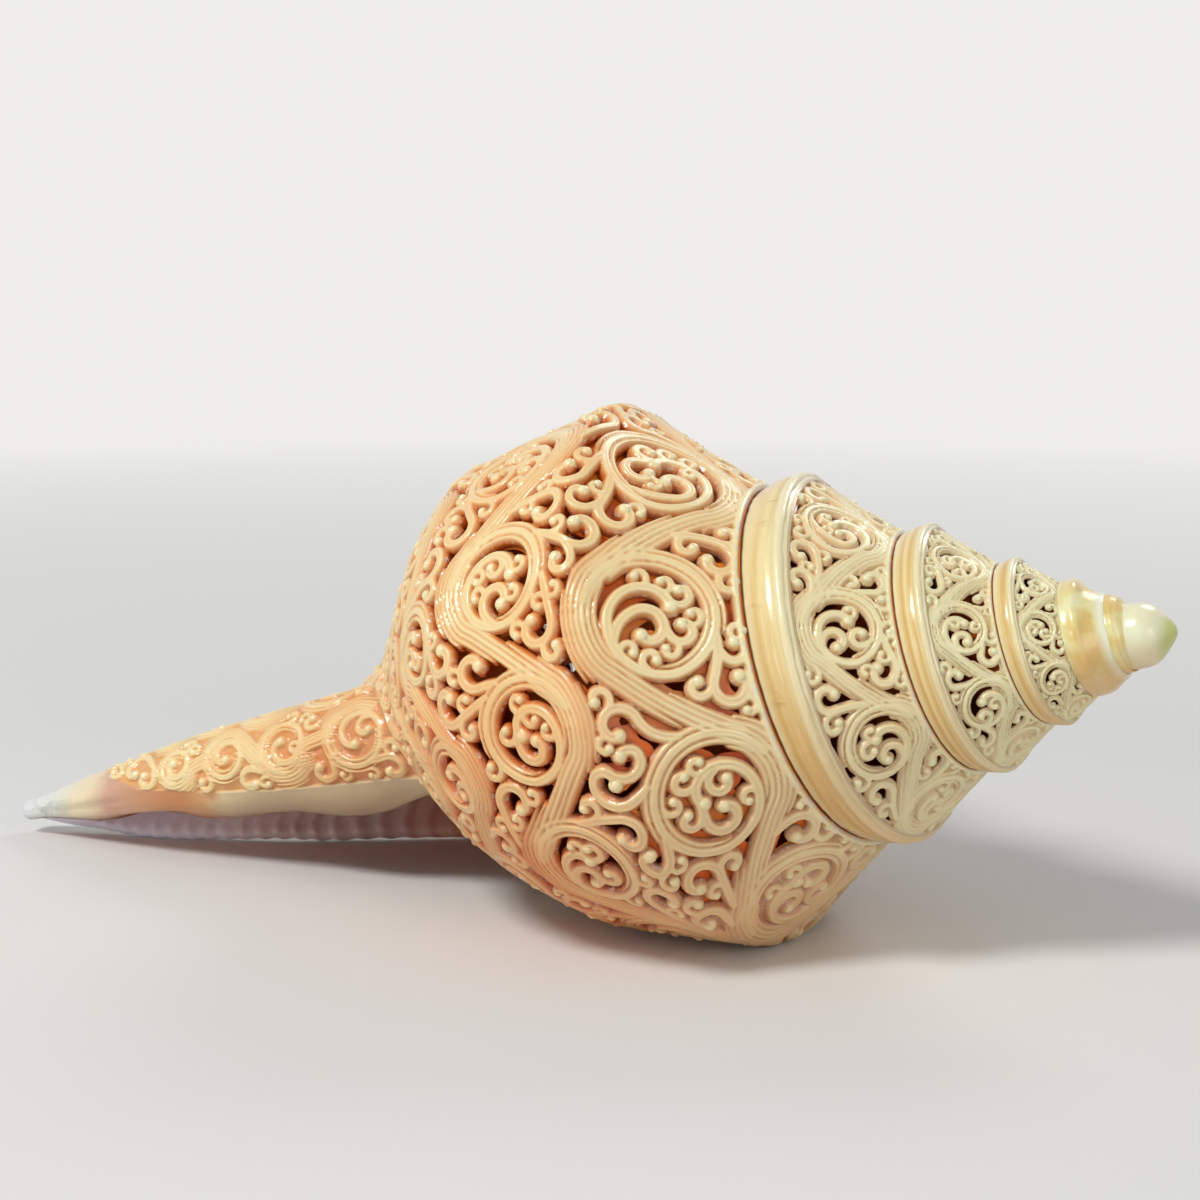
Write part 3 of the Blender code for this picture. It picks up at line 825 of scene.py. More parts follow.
def grown(name, tree, points, edges, values, **facts_of_points):
    """Runs a tree over points in mm with named facts, and keeps the result as a plain piece."""
    seed_mesh = bpy.data.meshes.new(name)
    seed_mesh.from_pydata((points * MM).tolist(), edges, [])
    for fact, numbers in facts_of_points.items():
        attribute = seed_mesh.attributes.new(fact, "FLOAT", "POINT")
        attribute.data.foreach_set("value", numbers.astype(np.float32))
    grower = bpy.data.objects.new(name, seed_mesh)
    bpy.context.scene.collection.objects.link(grower)
    modifier = grower.modifiers.new("grown", "NODES")
    modifier.node_group = tree
    sockets = {item.name: item.identifier for item in tree.interface.items_tree if item.in_out == "INPUT"}
    for key, value in values.items():
        modifier[sockets[key.replace("_", " ")]] = value
    mesh = bpy.data.meshes.new_from_object(grower.evaluated_get(bpy.context.evaluated_depsgraph_get()))
    grower.modifiers.remove(modifier)
    bpy.data.objects.remove(grower)
    mesh.shade_smooth()
    add_piece(name, mesh)


# Every curl ends in a ball, cut round by hand: one low-cut sphere, set at each end.
ball_tree, given = new_tree("balls at the ends of curls", Cuts="Int")
sphere = add(ball_tree, "GeometryNodeMeshIcoSphere", {"Radius": 1.0, "Subdivisions": given["Cuts"]})
smoothed = add(ball_tree, "GeometryNodeSetShadeSmooth", {"Geometry": sphere})
radius = add(ball_tree, "GeometryNodeInputNamedAttribute", {"Name": "size"}, data_type="FLOAT")
finish_tree(ball_tree, add(ball_tree, "GeometryNodeInstanceOnPoints", {
    "Points": given["Geometry"], "Instance": smoothed, "Scale": radius,
}), LIME)
BALL_SUNK, BALL_CUTS = 0.78, 2  # share of its radius, and how finely it is cut
BALL_RELIEF = 0.2  # mm, which gives it the colour of the ribs' backs
BALL_LEAST = 1.2  # mm, the radius from which a ball is cut round
BALL_ROOM = 0.1  # mm between a ball and the solid's box
NECK_RING, NECK_DEEP = 1.8, 0.5  # mm, either side of the neck, and below the ribs' backs
RIM_ENDS, RIM_PROUD, RIM_WHOLE = (2.0, 3.2), 0.15, 3.0  # depths from the seam, mm, and a depth
LAID_OVER, LAID_DOWN = 1.1, 1.3  # the depth over which the rim bends down to the older turn, and mm
BORDER = 1.2  # mm, half the width of a border at full size
SCROLL_HALF, DEEP = 1.65, 2.3  # mm at full size: half a scroll's width, and how deep the ground is cut back


def set_balls(name, strip, least):
    """Sets a ball at each curl's end that is thicker than least mm."""
    angle, depth, radius = np.array([ball for ball in strip.balls if ball[2] > least]).T
    i, j = strip.cell(angle, depth)
    spots = strip.position(angle, depth) - (BALL_SUNK * radius - strip.wear[i, j])[:, None] * strip.out[i, j]
    room = np.minimum(spots - np.array(cad_box[0]) / MM, np.array(cad_box[1]) / MM - spots).min(axis=1)
    kept = room > radius + BALL_ROOM
    relief = np.full(kept.sum(), BALL_RELIEF)
    grown(name, ball_tree, spots[kept], [], {"Cuts": BALL_CUTS}, size=radius[kept] * MM, relief=relief,
          down=depth[kept], plain=np.zeros(kept.sum()))


def raise_border(strip, angle, bottom, half):
    """A rib straight down the outline, on which the carvings of two turns meet."""
    depth = np.linspace(0.0, bottom, int(bottom / SPACING))
    strip.raise_rib(np.full(len(depth), angle), depth, half, flat=RIDGED)


def keep_plain(strip, amount):
    """Marks where the surface stays uncarved, from 0 to 1, which the carving then keeps clear of."""
    strip.plain = amount
    strip.clear = np.where(amount > 0.01, -1.0, strip.clear)


def along_neck(strip, down_from_neck):
    """Lets the body's and the canal's carving end on one shared ring, at the same height."""
    ring = 1 - smooth(0.0, NECK_RING, np.abs(down_from_neck))
    strip.height = strip.height * (1 - ring) - NECK_DEEP * ring
    strip.clear = np.where(np.abs(down_from_neck) < NECK_RING, np.minimum(strip.clear, 0.0), strip.clear)


def along_seam(strip):
    """Leaves a plain rim where the turn is joined to the older one, laid down onto it."""
    rim = (1 - smooth(*RIM_ENDS, strip.depths)) * (strip.plain < 1)
    strip.height = strip.height * (1 - rim) + RIM_PROUD * rim * strip.size[:, None]
    strip.height -= LAID_DOWN * (1 - smooth(0.0, LAID_OVER, strip.depths)) * strip.size[:, None]
    strip.clear = np.where(strip.depths < RIM_WHOLE, np.minimum(strip.clear, 0.0), strip.clear)


body = Strip(LIP - TURN, LIP, 0.0, depth_of(NECK), pitch=0.46, deep=DEEP)
# Past the opening, the carving starts at these growth angles down the outline.
CARVED_FROM_DEPTH = [0, 72, 79, 100, 116, 150, 201]
CARVED_FROM_ANGLE = [-5.0, -5.0, -4.58, -4.45, -4.1, -3.5, -2.75]
carved_from = np.interp(body.depths, CARVED_FROM_DEPTH, CARVED_FROM_ANGLE)
body_angles = body.angles[:, None]
near_opening = 1 - smooth(carved_from, carved_from + 0.02, body_angles)
near_lip = smooth(LIP - 0.10, LIP - 0.08, body_angles)
keep_plain(body, np.maximum(near_opening, near_lip))
raise_border(body, LIP - TURN, depth_of(NEXT_SEAM), BORDER)
# The rows of scrolls: (from which growth angle, how many a turn, where one stands, depth, radius).
for first, per_turn, start, depth, radius in [
    (-4.35, 8, -0.85, 29.0, 23.0),
    (-4.15, 11, -0.884, 86.5, 19.5),
    (-3.6, 10, -0.95, 134.0, 14.0),
    (-3.0, 8, -0.75, 168.0, 12.0),
]:
    carve_vine(body, row_of_scrolls(first, LIP - 0.3, start, per_turn, depth, radius), SCROLL_HALF)
fill_with_curls(body, 1.0, seed=5)
CANAL_TONE = 0.6
body.tone = 1 - (1 - CANAL_TONE) * smooth(-45, 0, body.depths - depth_of(NECK))
body.cut_back(seed=11)
along_neck(body, body.depths - depth_of(NECK))
along_seam(body)


WALL, LIP_WALL, THICKENS = 4.0, 0.45, (-2.5, 0.5)  # mm, how much more at the lip, between these growth angles


def lip_wall(angle):
    """How thick the shell's wall is in mm, which is more towards the lip."""
    return WALL * (1 + LIP_WALL * smooth(*THICKENS, angle)) * np.minimum(1.0, size_at(angle) ** 0.6)


pierced = smooth(-3.1, -2.9, body_angles) * (1 - smooth(1.1, 1.3, body_angles))
pierced = pierced * smooth(1.0, 3.0, body.depths) * (1 - smooth(135, 150, body.depths))
body_holes = HOLE_EDGE + NO_HOLES * (1 - pierced)
middle = len(body.angles) // 2
sides = {"near": np.s_[middle - 1:], "far": np.s_[:middle]}
rows_at = np.searchsorted(body.depths, [0, depth_of(KEEL), depth_of(CORNER)])
for name, first, last in zip(("shoulder", "side", "base"), rows_at, [*rows_at[1:] + 1, len(body.depths)]):
    for side, columns in sides.items():
        carved_piece(f"{name}_carving_{side}", body, (columns, slice(first, last)), body_holes,
                     lip_wall(body_angles), LIME)
set_balls("last_turn_balls", body, BALL_LEAST)


# ---------------------------------------------------------------------------------------------------------
# The canal: a slim spout, carved in relief on top and left smooth underneath, where the shell laid down its
# glaze, and towards its tip. It is one with the last turn.
def ridges(depth, *sizes):
    """Round-backed ridges and grooves that run round the shell: (depth, width, height) in mm."""
    return sum(height * np.exp(-(((depth - middle) / width) ** 2)) for middle, width, height in sizes)


CANAL_TOP, CANAL_BOTTOM = depth_of(NECK), OUTLINE_DEPTHS[-1]
canal_pitch = 0.62
canal = Strip(LIP - TURN, LIP, CANAL_TOP, CANAL_BOTTOM, canal_pitch, deep=1.7, radius=50.0)
canal_angles = canal.angles[:, None]
GLAZE_DEPTH = [195, 240, 270, 294, 306, 316]  # the carving ends at these growth angles, down the canal
GLAZE_ANGLE = [-2.75, -2.60, -2.40, -2.00, -1.40, 1.6]
GLAZE_SWELLS, SWELL_CELL = 0.8, 34  # mm, and cells of the grid
SPOUT_SCROLLS = [(214, 11.5), (239, 9.5), (260, 8.0), (279, 6.5)]  # (depth, radius) of those down a vine
SPOUT_HALF = 1.35  # mm, half a scroll's width
glazed_to = np.interp(canal.depths, GLAZE_DEPTH, GLAZE_ANGLE)
glazed = 1 - smooth(glazed_to, glazed_to + 0.05, canal_angles)
keep_plain(canal, np.maximum(glazed, smooth(LIP - 0.16, LIP - 0.12, canal_angles)))
for angle, step in ((-1.78, 0.06), (-0.45, 0.03), (0.75, -0.05)):
    scrolls = []
    for k, (depth, radius) in enumerate(SPOUT_SCROLLS):
        scrolls.append((angle + k * step, depth, radius, 1 if k % 2 else -1))
    carve_vine(canal, scrolls, SPOUT_HALF, way=pi / 2)
fill_with_curls(canal, 0.85, seed=8)
canal.cut_back(seed=12)
along_neck(canal, canal.depths - CANAL_TOP)
swells = smooth(0, 15, canal.depths - CANAL_TOP) * smooth(0, 8, CANAL_BOTTOM - canal.depths)
swells = GLAZE_SWELLS * canal.plain * swells * uneven(canal.clear.shape, SWELL_CELL, 1.0, seed=31)
canal.wear = canal.wear + swells
# By the opening the glazed side hangs down in a broad fold, and draws in before the tip.
fold = ridges(canal.depths, (231, 16, 5.0), (299, 12, -5.2))
canal.wear = canal.wear + fold * smooth(-4.1, -3.6, canal_angles) * (1 - smooth(-3.2, -2.6, canal_angles))
canal.tone = CANAL_TONE
carved_piece("canal_carving", canal, np.s_[:], NO_HOLES, 0.0, LIME)
set_balls("canal_balls", canal, BALL_LEAST)

# The canal's tip, worn round.
TIP_WORN = 1.3  # mm past the outline
TIP_ROUND = [(0.0, 0.0), (0.35, 0.08), (0.7, 0.3), (0.93, 0.65), (1.0, 1.0)]  # (outwards, inwards) shares
tip_ring = (canal.points + canal.wear[..., None] * canal.out)[:, -1]
tip_end = in_place(TIP + TIP_WORN, 0.0, 0.0) + CENTRED
middle = tip_ring.mean(axis=0)
tip_rings = []
for outwards, inwards in TIP_ROUND:
    tip_rings.append(middle + (tip_ring - middle) * (1 - inwards) + (tip_end - middle) * outwards)
tip_points = np.stack(tip_rings, axis=1).reshape(-1, 3)
tip_facts = np.tile([0.0, 1.0, 0.0, 300.0], (len(tip_points), 1))  # uncarved, at a depth on the canal
tip_faces = grid_faces(len(tip_ring), len(TIP_ROUND), around=True)
new_piece("canal_tip", np.hstack([tip_points, tip_facts]), [tip_faces], LIME)


# ---------------------------------------------------------------------------------------------------------
# The inside of the last turn: the wall's inner skin, glazed and pink towards the lip where it is rippled, the
# lip's rounded edge that joins it to the carved outside, and the older turns round which it winds.
CANAL_WALL = 4.5  # mm more, round the canal away from the lip
NECK_ALONG = stations(np.array([0.0]))[0][NECK, 0]
RIPPLE, RIPPLE_STEP = 0.6, 8.5  # mm
SKIN_STEEP = 3.0  # the slope of the outline above which the wall's thickness is no longer corrected
LIP_ROUND, LIP_STEPS = 1.6, 9  # how far it bulges, as a share of half the wall, and ever less towards the tip
TIP_THINS = 285.0, 330.0  # between these depths


def inner_wall(angle, along):
    """Thickness of the wall in mm at a growth angle and a distance along the axis."""
    round_canal = smooth(0.85, 1.0, along / NECK_ALONG) * (1 - smooth(-0.6, 0.5, angle))
    return lip_wall(angle) + CANAL_WALL * round_canal


def outline_at(angles, depths):
    """Distance along the axis and radius of the plain form, as grids of growth angles by depths."""
    weights = curve_weights(place_of(depths), STATIONS)
    along, radius = stations(angles)
    return (weights @ along).T, (weights @ radius).T


def thinned_out(count, stride):
    """Numbers up to a count in strides, with the last one kept."""
    return np.append(np.arange(0, count - 1, stride), count - 1)


def inner_skin(strip, stride, hole_edge):
    """The inner side of the wall under a strip, and how far it stands clear of the turn within."""
    columns, rows = thinned_out(len(strip.angles), stride), thinned_out(len(strip.depths), stride)
    angles, depths = strip.angles[columns], strip.depths[rows]
    along, radius = outline_at(angles, depths)
    slope = np.abs(np.gradient(radius, axis=1) / np.maximum(np.abs(np.gradient(along, axis=1)), 0.05))
    thickness = inner_wall(angles[:, None], along)
    radius = radius - thickness * np.sqrt(1 + np.minimum(slope, SKIN_STEEP) ** 2)
    older_along, older_radius = stations(angles - TURN)
    older = np.stack([np.interp(a, s, r) for a, s, r in zip(along, older_along.T, older_radius.T)])
    turned = swept(angles[:, None], place_of(depths))
    ripples = RIPPLE * np.sin(TURN * depths / RIPPLE_STEP) * smooth(0.5, 1.3, angles)[:, None]
    ripples = ripples * smooth(150, 190, depths)
    points = in_place(along, np.maximum(radius - ripples, 0.5), turned) + CENTRED
    clear = radius - older
    if hole_edge is not None:
        clear = np.minimum(clear, (hole_edge - strip.clear)[np.ix_(columns, rows)])
    return np.concatenate([points, facts(strip, 0.0)[np.ix_(columns, rows)]], axis=2), clear


# Shell lime under its own glaze, as the animal left it: smooth, a little glossy and never carved, it shines
# softly where it bends, and it is orange deep inside and rose at the lip.
def inner_lime():
    material, tree, shader, place = new_material("glazed inner lime", 0.34, coat=0.08, translucence=0.15)
    shader.inputs["Specular IOR Level"].default_value = 0.3
    lips = add(tree, "Attribute", out="Fac", attribute_name="round")
    down = add(tree, "Attribute", out="Fac", attribute_name="down")
    patches = stains(tree, place, 22.0)
    deep = add(tree, "ValToRGB", {0: patches}, stops=[(0.35, "#DB560A"), (0.5, "#E66E12"), (0.68, "#F0902C")])
    rose = add(tree, "ValToRGB", {0: patches}, stops=[(0.3, "#DDBDB8"), (0.5, "#EBD3CC"), (0.7, "#F4E9E8")])
    # Dusky between the ripples, blue-white down the canal, and orange away from the lip.
    ripple = add(tree, "Math", {0: down, 1: TURN / RIPPLE_STEP}, operation="MULTIPLY")
    ripple = add(tree, "Math", {0: ripple}, operation="SINE")
    dusky = zone(tree, (ripple, -0.4, 1.0), (down, 245.0, 205.0), most=0.55)
    rose = painted(tree, rose, (dusky, "#B0807A"), (zone(tree, (down, 225.0, 285.0), most=0.8), "#E6E2F2"))
    colour = painted(tree, deep, (zone(tree, (lips, 75.0, 130.0), (down, 130.0, 185.0)), rose))
    finish_material(tree, shader, colour, stains(tree, place, 3.0), 0.2, 0.4)
    return material


GLAZE = inner_lime()

lip_edges = []
for name, strip, stride, holes in (("inner_wall", body, 3, body_holes), ("canal_inside", canal, 2, None)):
    points, clear = inner_skin(strip, stride, holes)
    everything, faces, _ = skin(clear, points)
    new_piece(name, everything, [part[:, ::-1] for part in faces], GLAZE)
    outside = (strip.points + strip.wear[..., None] * strip.out)[-1, thinned_out(len(strip.depths), stride)]
    at_tip = points[-1, :, -1] > TIP_THINS[0]
    lip_edges.append((outside, points[-1, :, :3], points[-1, :, 3:], at_tip | (clear[-1] > -1.5)))

outside, inside, beside, there = (np.concatenate(part) for part in zip(*lip_edges))
outside, inside, beside = outside[there], inside[there], beside[there]
across = (inside - outside) / 2
forward = np.cross(across, np.gradient(outside, axis=0))
forward *= np.linalg.norm(across, axis=1)[:, None] / np.linalg.norm(forward, axis=1)[:, None]
forward *= 1 - smooth(*TIP_THINS, beside[:, 3:])
bend = np.linspace(0, pi, LIP_STEPS)[:, None, None]
rim = outside + across * (1 - np.cos(bend)) + LIP_ROUND * forward * np.sin(bend)
rim = np.concatenate([rim, np.broadcast_to(beside, (LIP_STEPS, *beside.shape))], axis=2)
new_piece("lip_edge", rim.reshape(-1, 7), [grid_faces(*rim.shape[:2])], GLAZE)

# The older turns inside: (turns back, pitch, depth).
for turns, pitch, bottom in [(1, 2.0, OUTLINE_DEPTHS[-1]), (2, 1.6, 215.0), (3, 1.2, 215.0), (4, 1.0, 215.0)]:
    first, top = LIP - (turns + 1) * TURN, depth_of(NEXT_SEAM) + 0.8
    strip = Strip(first, first + TURN, top, bottom, pitch, deep=0.0, radius=80.0)
    strip.plain = np.ones_like(strip.clear)
    points = np.concatenate([strip.points, facts(strip, 0.0)], axis=2)
    new_piece(f"older_turn_{turns}", points.reshape(-1, 7), [grid_faces(*strip.clear.shape)], GLAZE)


# ---------------------------------------------------------------------------------------------------------
# The upper turns: on each the same vine in a smaller hand, above a raised cord on the keel and a band that
# was never carved, where the shell's growth lines still show.
CORD_TOP = 52.5  # the depth where the cord on the keel begins
UPPER_RADIUS = 82.0  # mm, round which a strip's columns are counted out
UPPER_START, UPPER_SCROLLS = -0.9, (8, 26.5, 20.5)  # growth angle of one, how many a turn, depth and radius
UPPER_WALL = 3.6  # mm


def upper_turn(name, first, last, scale, pitch, seed, pierced):
    """The carving of one turn, to a scale, and pierced between two growth angles."""
    pitch = pitch * 1.0
    strip = Strip(first, last, 0.0, CORD_TOP, pitch, deep=DEEP * scale, radius=UPPER_RADIUS)
    keep_plain(strip, 1 - smooth(0.4, 0.8, CORD_TOP - 0.9 - strip.depths) + np.zeros_like(strip.clear))
    start = UPPER_START + round((first - LIP) / TURN) * TURN
    scrolls = row_of_scrolls(first + 0.1, last - 0.1, start, *UPPER_SCROLLS, sway=0.5)
    for end in (first, last):
        raise_border(strip, end, CORD_TOP, BORDER * float(size_at(end)))
    carve_vine(strip, scrolls, SCROLL_HALF * scale)
    fill_with_curls(strip, scale, seed, margin=0.4)
    strip.cut_back(seed, 0.1 * scale)
    along_seam(strip)
    angles = strip.angles[:, None]
    open_ = smooth(pierced[0] - 0.1, pierced[0], angles) * (1 - smooth(pierced[1], pierced[1] + 0.1, angles))
    open_ = open_ * (1 - smooth(CORD_TOP - 3.0, CORD_TOP - 2.0, strip.depths))
    whole = (1 - open_) + (1 - smooth(3.0, 4.5, strip.depths))
    holes = 1.4 * HOLE_EDGE * scale + NO_HOLES * whole
    carved_piece(name + "_carving", strip, np.s_[:], holes, UPPER_WALL * scale, LIME)
    set_balls(name + "_balls", strip, 1.5 * scale)


upper_turn("second_turn", LIP - 2 * TURN, LIP - TURN, 0.72, 0.40, 21, (-9.35, -5.1))
upper_turn("third_turn", LIP - 3 * TURN, LIP - 2 * TURN, 0.52, 0.32, 22, (-15.5, -11.6))
upper_turn("fourth_turn", LIP - 4 * TURN, LIP - 3 * TURN, 0.38, 0.27, 23, (-21.8, -18.3))


# Shell lime that was never carved: worn glossy by handling, so it catches the light along every ridge, and
# streaked along its growth with thin lines across.
def smooth_lime():
    material, tree, shader, place = new_material("worn shell lime", 0.28, coat=0.35, translucence=0.12)
    round_mm = add(tree, "Attribute", out="Fac", attribute_name="round")
    down = add(tree, "Attribute", out="Fac", attribute_name="down")
    along = add(tree, "SeparateXYZ", {0: place}, "X")
    up = along.node.outputs["Z"]
    # Streaks run along the band, and now and then a thin growth line crosses it.
    flat = add(tree, "CombineXYZ", {0: round_mm, 1: down})
    marks = []  # their noise's steps per mm round the shell and down it, and its detail
    for per_mm, detail in (((0.030, 0.16, 0.0), 2.0), ((0.55, 0.035, 0.0), 5.0)):
        stretched = add(tree, "VectorMath", {0: flat, 1: per_mm}, operation="MULTIPLY")
        marks.append(add(tree, "TexNoise", {"Vector": stretched, "Scale": 1.0, "Detail": detail}))
    streak, line = marks
    band = add(tree, "ValToRGB", {0: streak}, stops=[
        (0.35, "#EEDBA0"), (0.48, "#E7CC8A"), (0.62, "#DDB970"), (0.75, "#D1A65A"),
    ])
    # On the band: growth lines, a pale edge, the cord and the dark crease of the seam, where painted shade
    # lies under the next turn's edge. Lower down, as it lies, it is warmer and darker: painted shade of its
    # underside.
    band = painted(
        tree, band,
        (zone(tree, (line, 0.62, 0.70), most=0.4), "#B98B50"),
        (zone(tree, (down, 71.0, 76.0), most=0.7), "#EFE0B4"),
        (zone(tree, (down, 61.0, 59.5), most=0.85), "#F1E4B6"),
        (zone(tree, (down, 77.4, 78.2)), "#6B4A2C"),
        (zone(tree, (up, 0.11, 0.03), most=0.6), "#E9B888", "MULTIPLY"),
    )
    # The apex is mottled yellow, chalky by the seam, darker orange underneath as painted shade, and green on
    # its tip.
    apex = add(tree, "ValToRGB", {0: stains(tree, place, 9.0)}, stops=[
        (0.38, "#EDE8B4"), (0.5, "#E8D78E"), (0.62, "#E2C070"),
    ])
    chalk, painted_underside_shade = zone(tree, (down, 24.0, 8.0)), zone(tree, (up, 0.103, 0.088), most=0.7)
    apex = painted(tree, apex, (chalk, "#ECECCC"), (painted_underside_shade, "#D9A060"))
    green = zone(tree, (along, 0.2020, 0.2046), most=0.8)
    colour = painted(tree, band, (zone(tree, (along, 0.168, 0.178)), apex), (green, "#BFC45C"))
    finish_material(tree, shader, colour, line, 0.3, 0.5)
    return material


WORN = smooth_lime()


def smooth_strip(name, first, last, top, bottom, pitch, height):
    """An uncarved strip whose height over the plain form is a function of growth angle and depth."""
    strip = Strip(first, last, top, bottom, pitch, deep=0.0, radius=UPPER_RADIUS)
    strip.plain = np.ones_like(strip.clear)
    raised = height(strip.angles[:, None], strip.depths[None, :]) * strip.size[:, None]
    points = np.concatenate([strip.points + raised[..., None] * strip.out, facts(strip, 0.0)], axis=2)
    new_piece(name, points.reshape(-1, 7), [grid_faces(*strip.clear.shape)], WORN)


def band_height(angle, depth):
    """The bed of the cord on the keel, a groove under it, and a broad ridge down to the next turn's seam."""
    shaped = ridges(depth, (61.5, 1.4, -0.9), (53.6, 1.2, -0.5), (68.5, 4.5, 0.7))
    wear = 0.10 * np.sin(angle * 23) + 0.08 * np.sin(angle * 61 + 1.0)
    return shaped - 0.5 * smooth(73, 78, depth) + wear * smooth(63, 66, depth)


BAND_BOTTOM = depth_of(NEXT_SEAM) + 1.5  # under the next turn's carving
for name, turns, pitch in (("second", 1, 0.7), ("third", 2, 0.55), ("fourth", 3, 0.42)):
    first = LIP - (turns + 1) * TURN
    smooth_strip(f"{name}_turn_band", first, first + TURN, CORD_TOP, BAND_BOTTOM, pitch, band_height)


# ---------------------------------------------------------------------------------------------------------
# The cord on the keel of the upper turns: a round-backed ridge of pale lime, left standing between the band
# and the carving. It is grown in one with the shell, and follows the keel all the way up.
cord_tree, given = new_tree("cord along the keel", Cord_Radius="Float", Sides="Int")
path = add(cord_tree, "GeometryNodeMeshToCurve", {"Mesh": given["Geometry"]})
size = add(cord_tree, "GeometryNodeInputNamedAttribute", {"Name": "size"}, data_type="FLOAT")
thick = add(cord_tree, "Math", {0: size, 1: given["Cord Radius"]}, operation="MULTIPLY")
ring = add(cord_tree, "GeometryNodeCurvePrimitiveCircle", {"Resolution": given["Sides"], "Radius": 1.0})
finish_tree(cord_tree, add(cord_tree, "GeometryNodeCurveToMesh", {
    "Curve": path, "Profile Curve": ring, "Scale": thick, "Fill Caps": True,
}), WORN)

CORD_AT, CORD_RADIUS, CORD_SUNK = 57.2, 2.9, 1.9  # depth on the outline, then mm at full size
CORD_SIDES = 16
keel_line = Strip(LIP - 4 * TURN, LIP - TURN, CORD_AT - 1, CORD_AT + 1, pitch=0.8, deep=0.0)
worn = 1 + 0.05 * np.sin(keel_line.angles * 17) + 0.04 * np.sin(keel_line.angles * 41)
cord_spots = keel_line.points[:, 1] - CORD_SUNK * keel_line.size[:, None] * keel_line.out[:, 1]
cord_edges = [(i, i + 1) for i in range(len(cord_spots) - 1)]
grown(
    "keel_cord", cord_tree, cord_spots, cord_edges, {"Cord_Radius": CORD_RADIUS * MM, "Sides": CORD_SIDES},
    size=keel_line.size * worn, round=keel_line.angles * ROUND_RADIUS * keel_line.size,
    down=np.full(len(cord_spots), CORD_AT),
)


# ---------------------------------------------------------------------------------------------------------
# The apex: the oldest two turns, which were never carved. They are worn glossy, with low knobs on the keel,
# and the very tip is rubbed down to a blunt dome.
FIRST = LIP - 6 * TURN
KNOBS = 8  # a turn
THINNER, TUCKED, START_THINNER = 2.4, 1.6, 2.6  # mm, whatever the turn's size
SEAM_FILL, KEEL_CUT, KEEL_KEPT = 4.0, 5.5, 7.5  # mm at full size; further on the keel is raised


def apex_height(angle, depth):
    """Rounds the keel, fills the seams, and thins the very first turn, with low knobs round it."""
    keel = ridges(depth, (56.0, 10.0, 1.0))
    seam = ridges(depth, (0.0, 11.0, 1.0), (depth_of(NEXT_SEAM), 11.0, TURN_FACTOR))
    knobs = (1 + np.cos(angle * KNOBS)) * ridges(depth, (52.0, 11.0, 1.3))
    wound = angle + TURN * depth / depth_of(NEXT_SEAM)
    first = THINNER * (1 - smooth(FIRST, FIRST + 9.5, wound)) / size_at(angle)
    laid_down = 1 - smooth(0.0, 2.0, depth)
    first_turn = 1 - smooth(FIRST + TURN, FIRST + TURN + 2.0, angle)
    tucked = TUCKED * (1 - smooth(0.0, 16.0, depth)) * first_turn / size_at(angle)
    rounding = KEEL_CUT - KEEL_KEPT * smooth(FIRST + 4.0, LIP - 4.2 * TURN, angle)
    start = START_THINNER * (1 - smooth(FIRST, FIRST + 2.0, angle)) / size_at(angle)
    return knobs - rounding * keel + SEAM_FILL * seam - first - laid_down - tucked - start


smooth_strip("apex_turns", FIRST, LIP - 4 * TURN, 0.0, BAND_BOTTOM, 0.35, apex_height)

DOME_COLUMNS, DOME_STEPS = 48, 36
DOME = np.array([  # (mm along the axis, radius); it runs on as a cone under the first turns
    (3.9, 0.0), (4.1, 1.3), (5.1, 3.0), (7.0, 5.2), (9.2, 7.6),
    (11.4, 8.9), (13.6, 9.5), (16.4, 9.7), (20.0, 10.8), (32.0, 14.8),
])
dome_along, dome_radius = (curve_weights(np.linspace(0, len(DOME) - 1, DOME_STEPS), len(DOME)) @ DOME).T
dome_angles = np.arange(DOME_COLUMNS) * TURN / DOME_COLUMNS
dome = in_place(dome_along, dome_radius, dome_angles[:, None]) + CENTRED
dome_facts = np.tile([0.0, 1.0, 0.0, 12.0], (len(dome_along) * DOME_COLUMNS, 1))  # uncarved, near the seam
new_piece("apex_dome", np.hstack([dome.reshape(-1, 3), dome_facts]),
          [grid_faces(DOME_COLUMNS, len(dome_along), around=True)], WORN)


# ---------------------------------------------------------------------------------------------------------
# The table and the light: a sheet of matt white paper under the shell, soft white studio lamps round it, and
# a backdrop so pale that the paper's edge doesn't show.
def lamp(name, place, size, watts):
    light = bpy.data.objects.new(name, bpy.data.lights.new(name, "AREA"))
    light.data.shape, light.data.size, light.data.energy = "DISK", size, watts
    light.location = place
    light.rotation_euler = (Vector(place) - AIM).to_track_quat("Z", "Y").to_euler()
    bpy.context.scene.collection.objects.link(light)


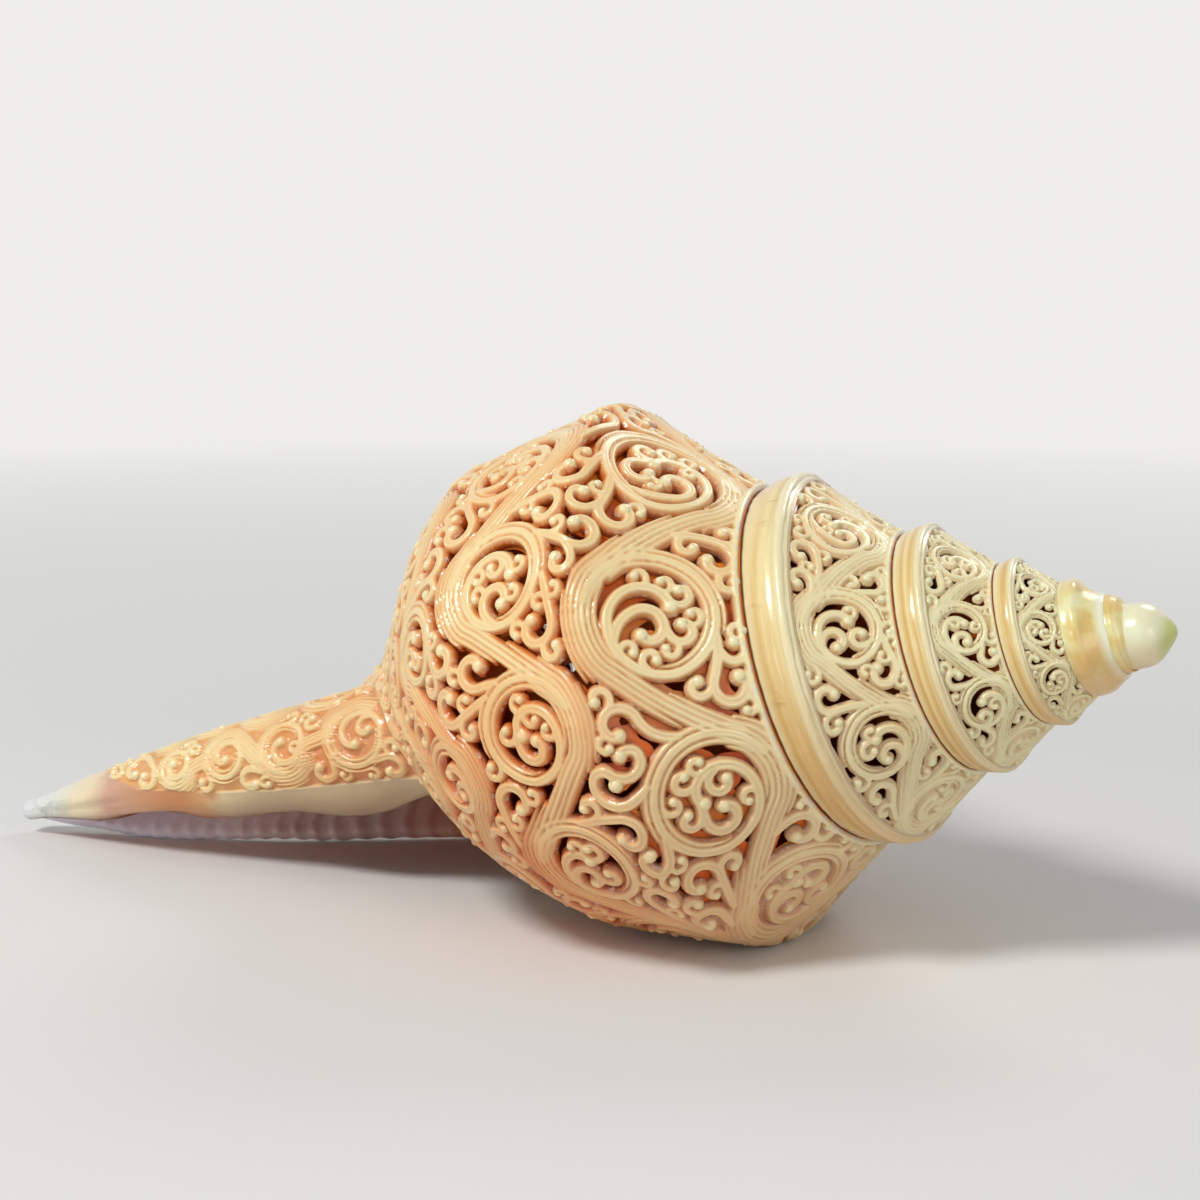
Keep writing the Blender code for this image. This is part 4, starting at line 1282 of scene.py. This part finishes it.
lamp("key lamp", (-0.55, -1.25, 1.75), 0.6, 27.0)
lamp("low lamp", (-0.8, -1.5, 0.28), 0.5, 2.2)
lamp("fill lamp", (1.7, -1.0, 0.8), 0.9, 5.0)
lamp("back lamp", (0.3, 1.5, 1.4), 0.8, 7.0)


def seen_by_eye(tree):
    """1 where the camera sees a surface, straight or in a gloss, and 0 where it only lights others."""
    rays = add(tree, "LightPath").node.outputs
    gloss = add(tree, "Math", {0: rays["Is Glossy Ray"], 1: rays["Is Transmission Ray"]}, operation="MAXIMUM")
    return add(tree, "Math", {0: rays["Is Camera Ray"], 1: gloss}, operation="MAXIMUM")


BACKDROP = "#EEEDEB"
FLOOR_HALF = 12.0  # m
floor_mesh = bpy.data.meshes.new("floor")
corners = [(x * FLOOR_HALF, y * FLOOR_HALF, 0) for x, y in ((-1, -1), (1, -1), (1, 1), (-1, 1))]
floor_mesh.from_pydata(corners, [], [(0, 1, 2, 3)])
floor = bpy.data.objects.new("floor", floor_mesh)
bpy.context.scene.collection.objects.link(floor)

# Matt paper near the shell, which fades into the pale backdrop with distance.
floor_material, tree, shader, place = new_material("matt paper", 0.9)
shader.inputs["Base Color"].default_value = linear("#E6E4E0")
shader.inputs["Specular IOR Level"].default_value = 0.1
far = add(tree, "VectorMath", {0: place}, "Value", operation="LENGTH")
fade = zone(tree, (far, 0.35, 1.6), most=seen_by_eye(tree))
glow = add(tree, "Emission", {"Color": BACKDROP})
faded = add(tree, "MixShader", {0: fade, 1: shader.outputs[0], 2: glow})
tree.links.new(faded, tree.nodes["Material Output"].inputs["Surface"])
floor_mesh.materials.append(floor_material)

world = bpy.data.worlds.new("studio")
world.use_nodes = True
bpy.context.scene.world = world
tree = world.node_tree
light = tree.nodes["Background"]
light.inputs["Color"].default_value, light.inputs["Strength"].default_value = linear("#DDE2E8"), 0.42
backdrop = add(tree, "Background", {"Color": BACKDROP, "Strength": 1.0})
sky = add(tree, "MixShader", {0: seen_by_eye(tree), 1: light.outputs[0], 2: backdrop})
tree.links.new(sky, tree.nodes["World Output"].inputs["Surface"])

bpy.context.scene.view_settings.view_transform = "Standard"
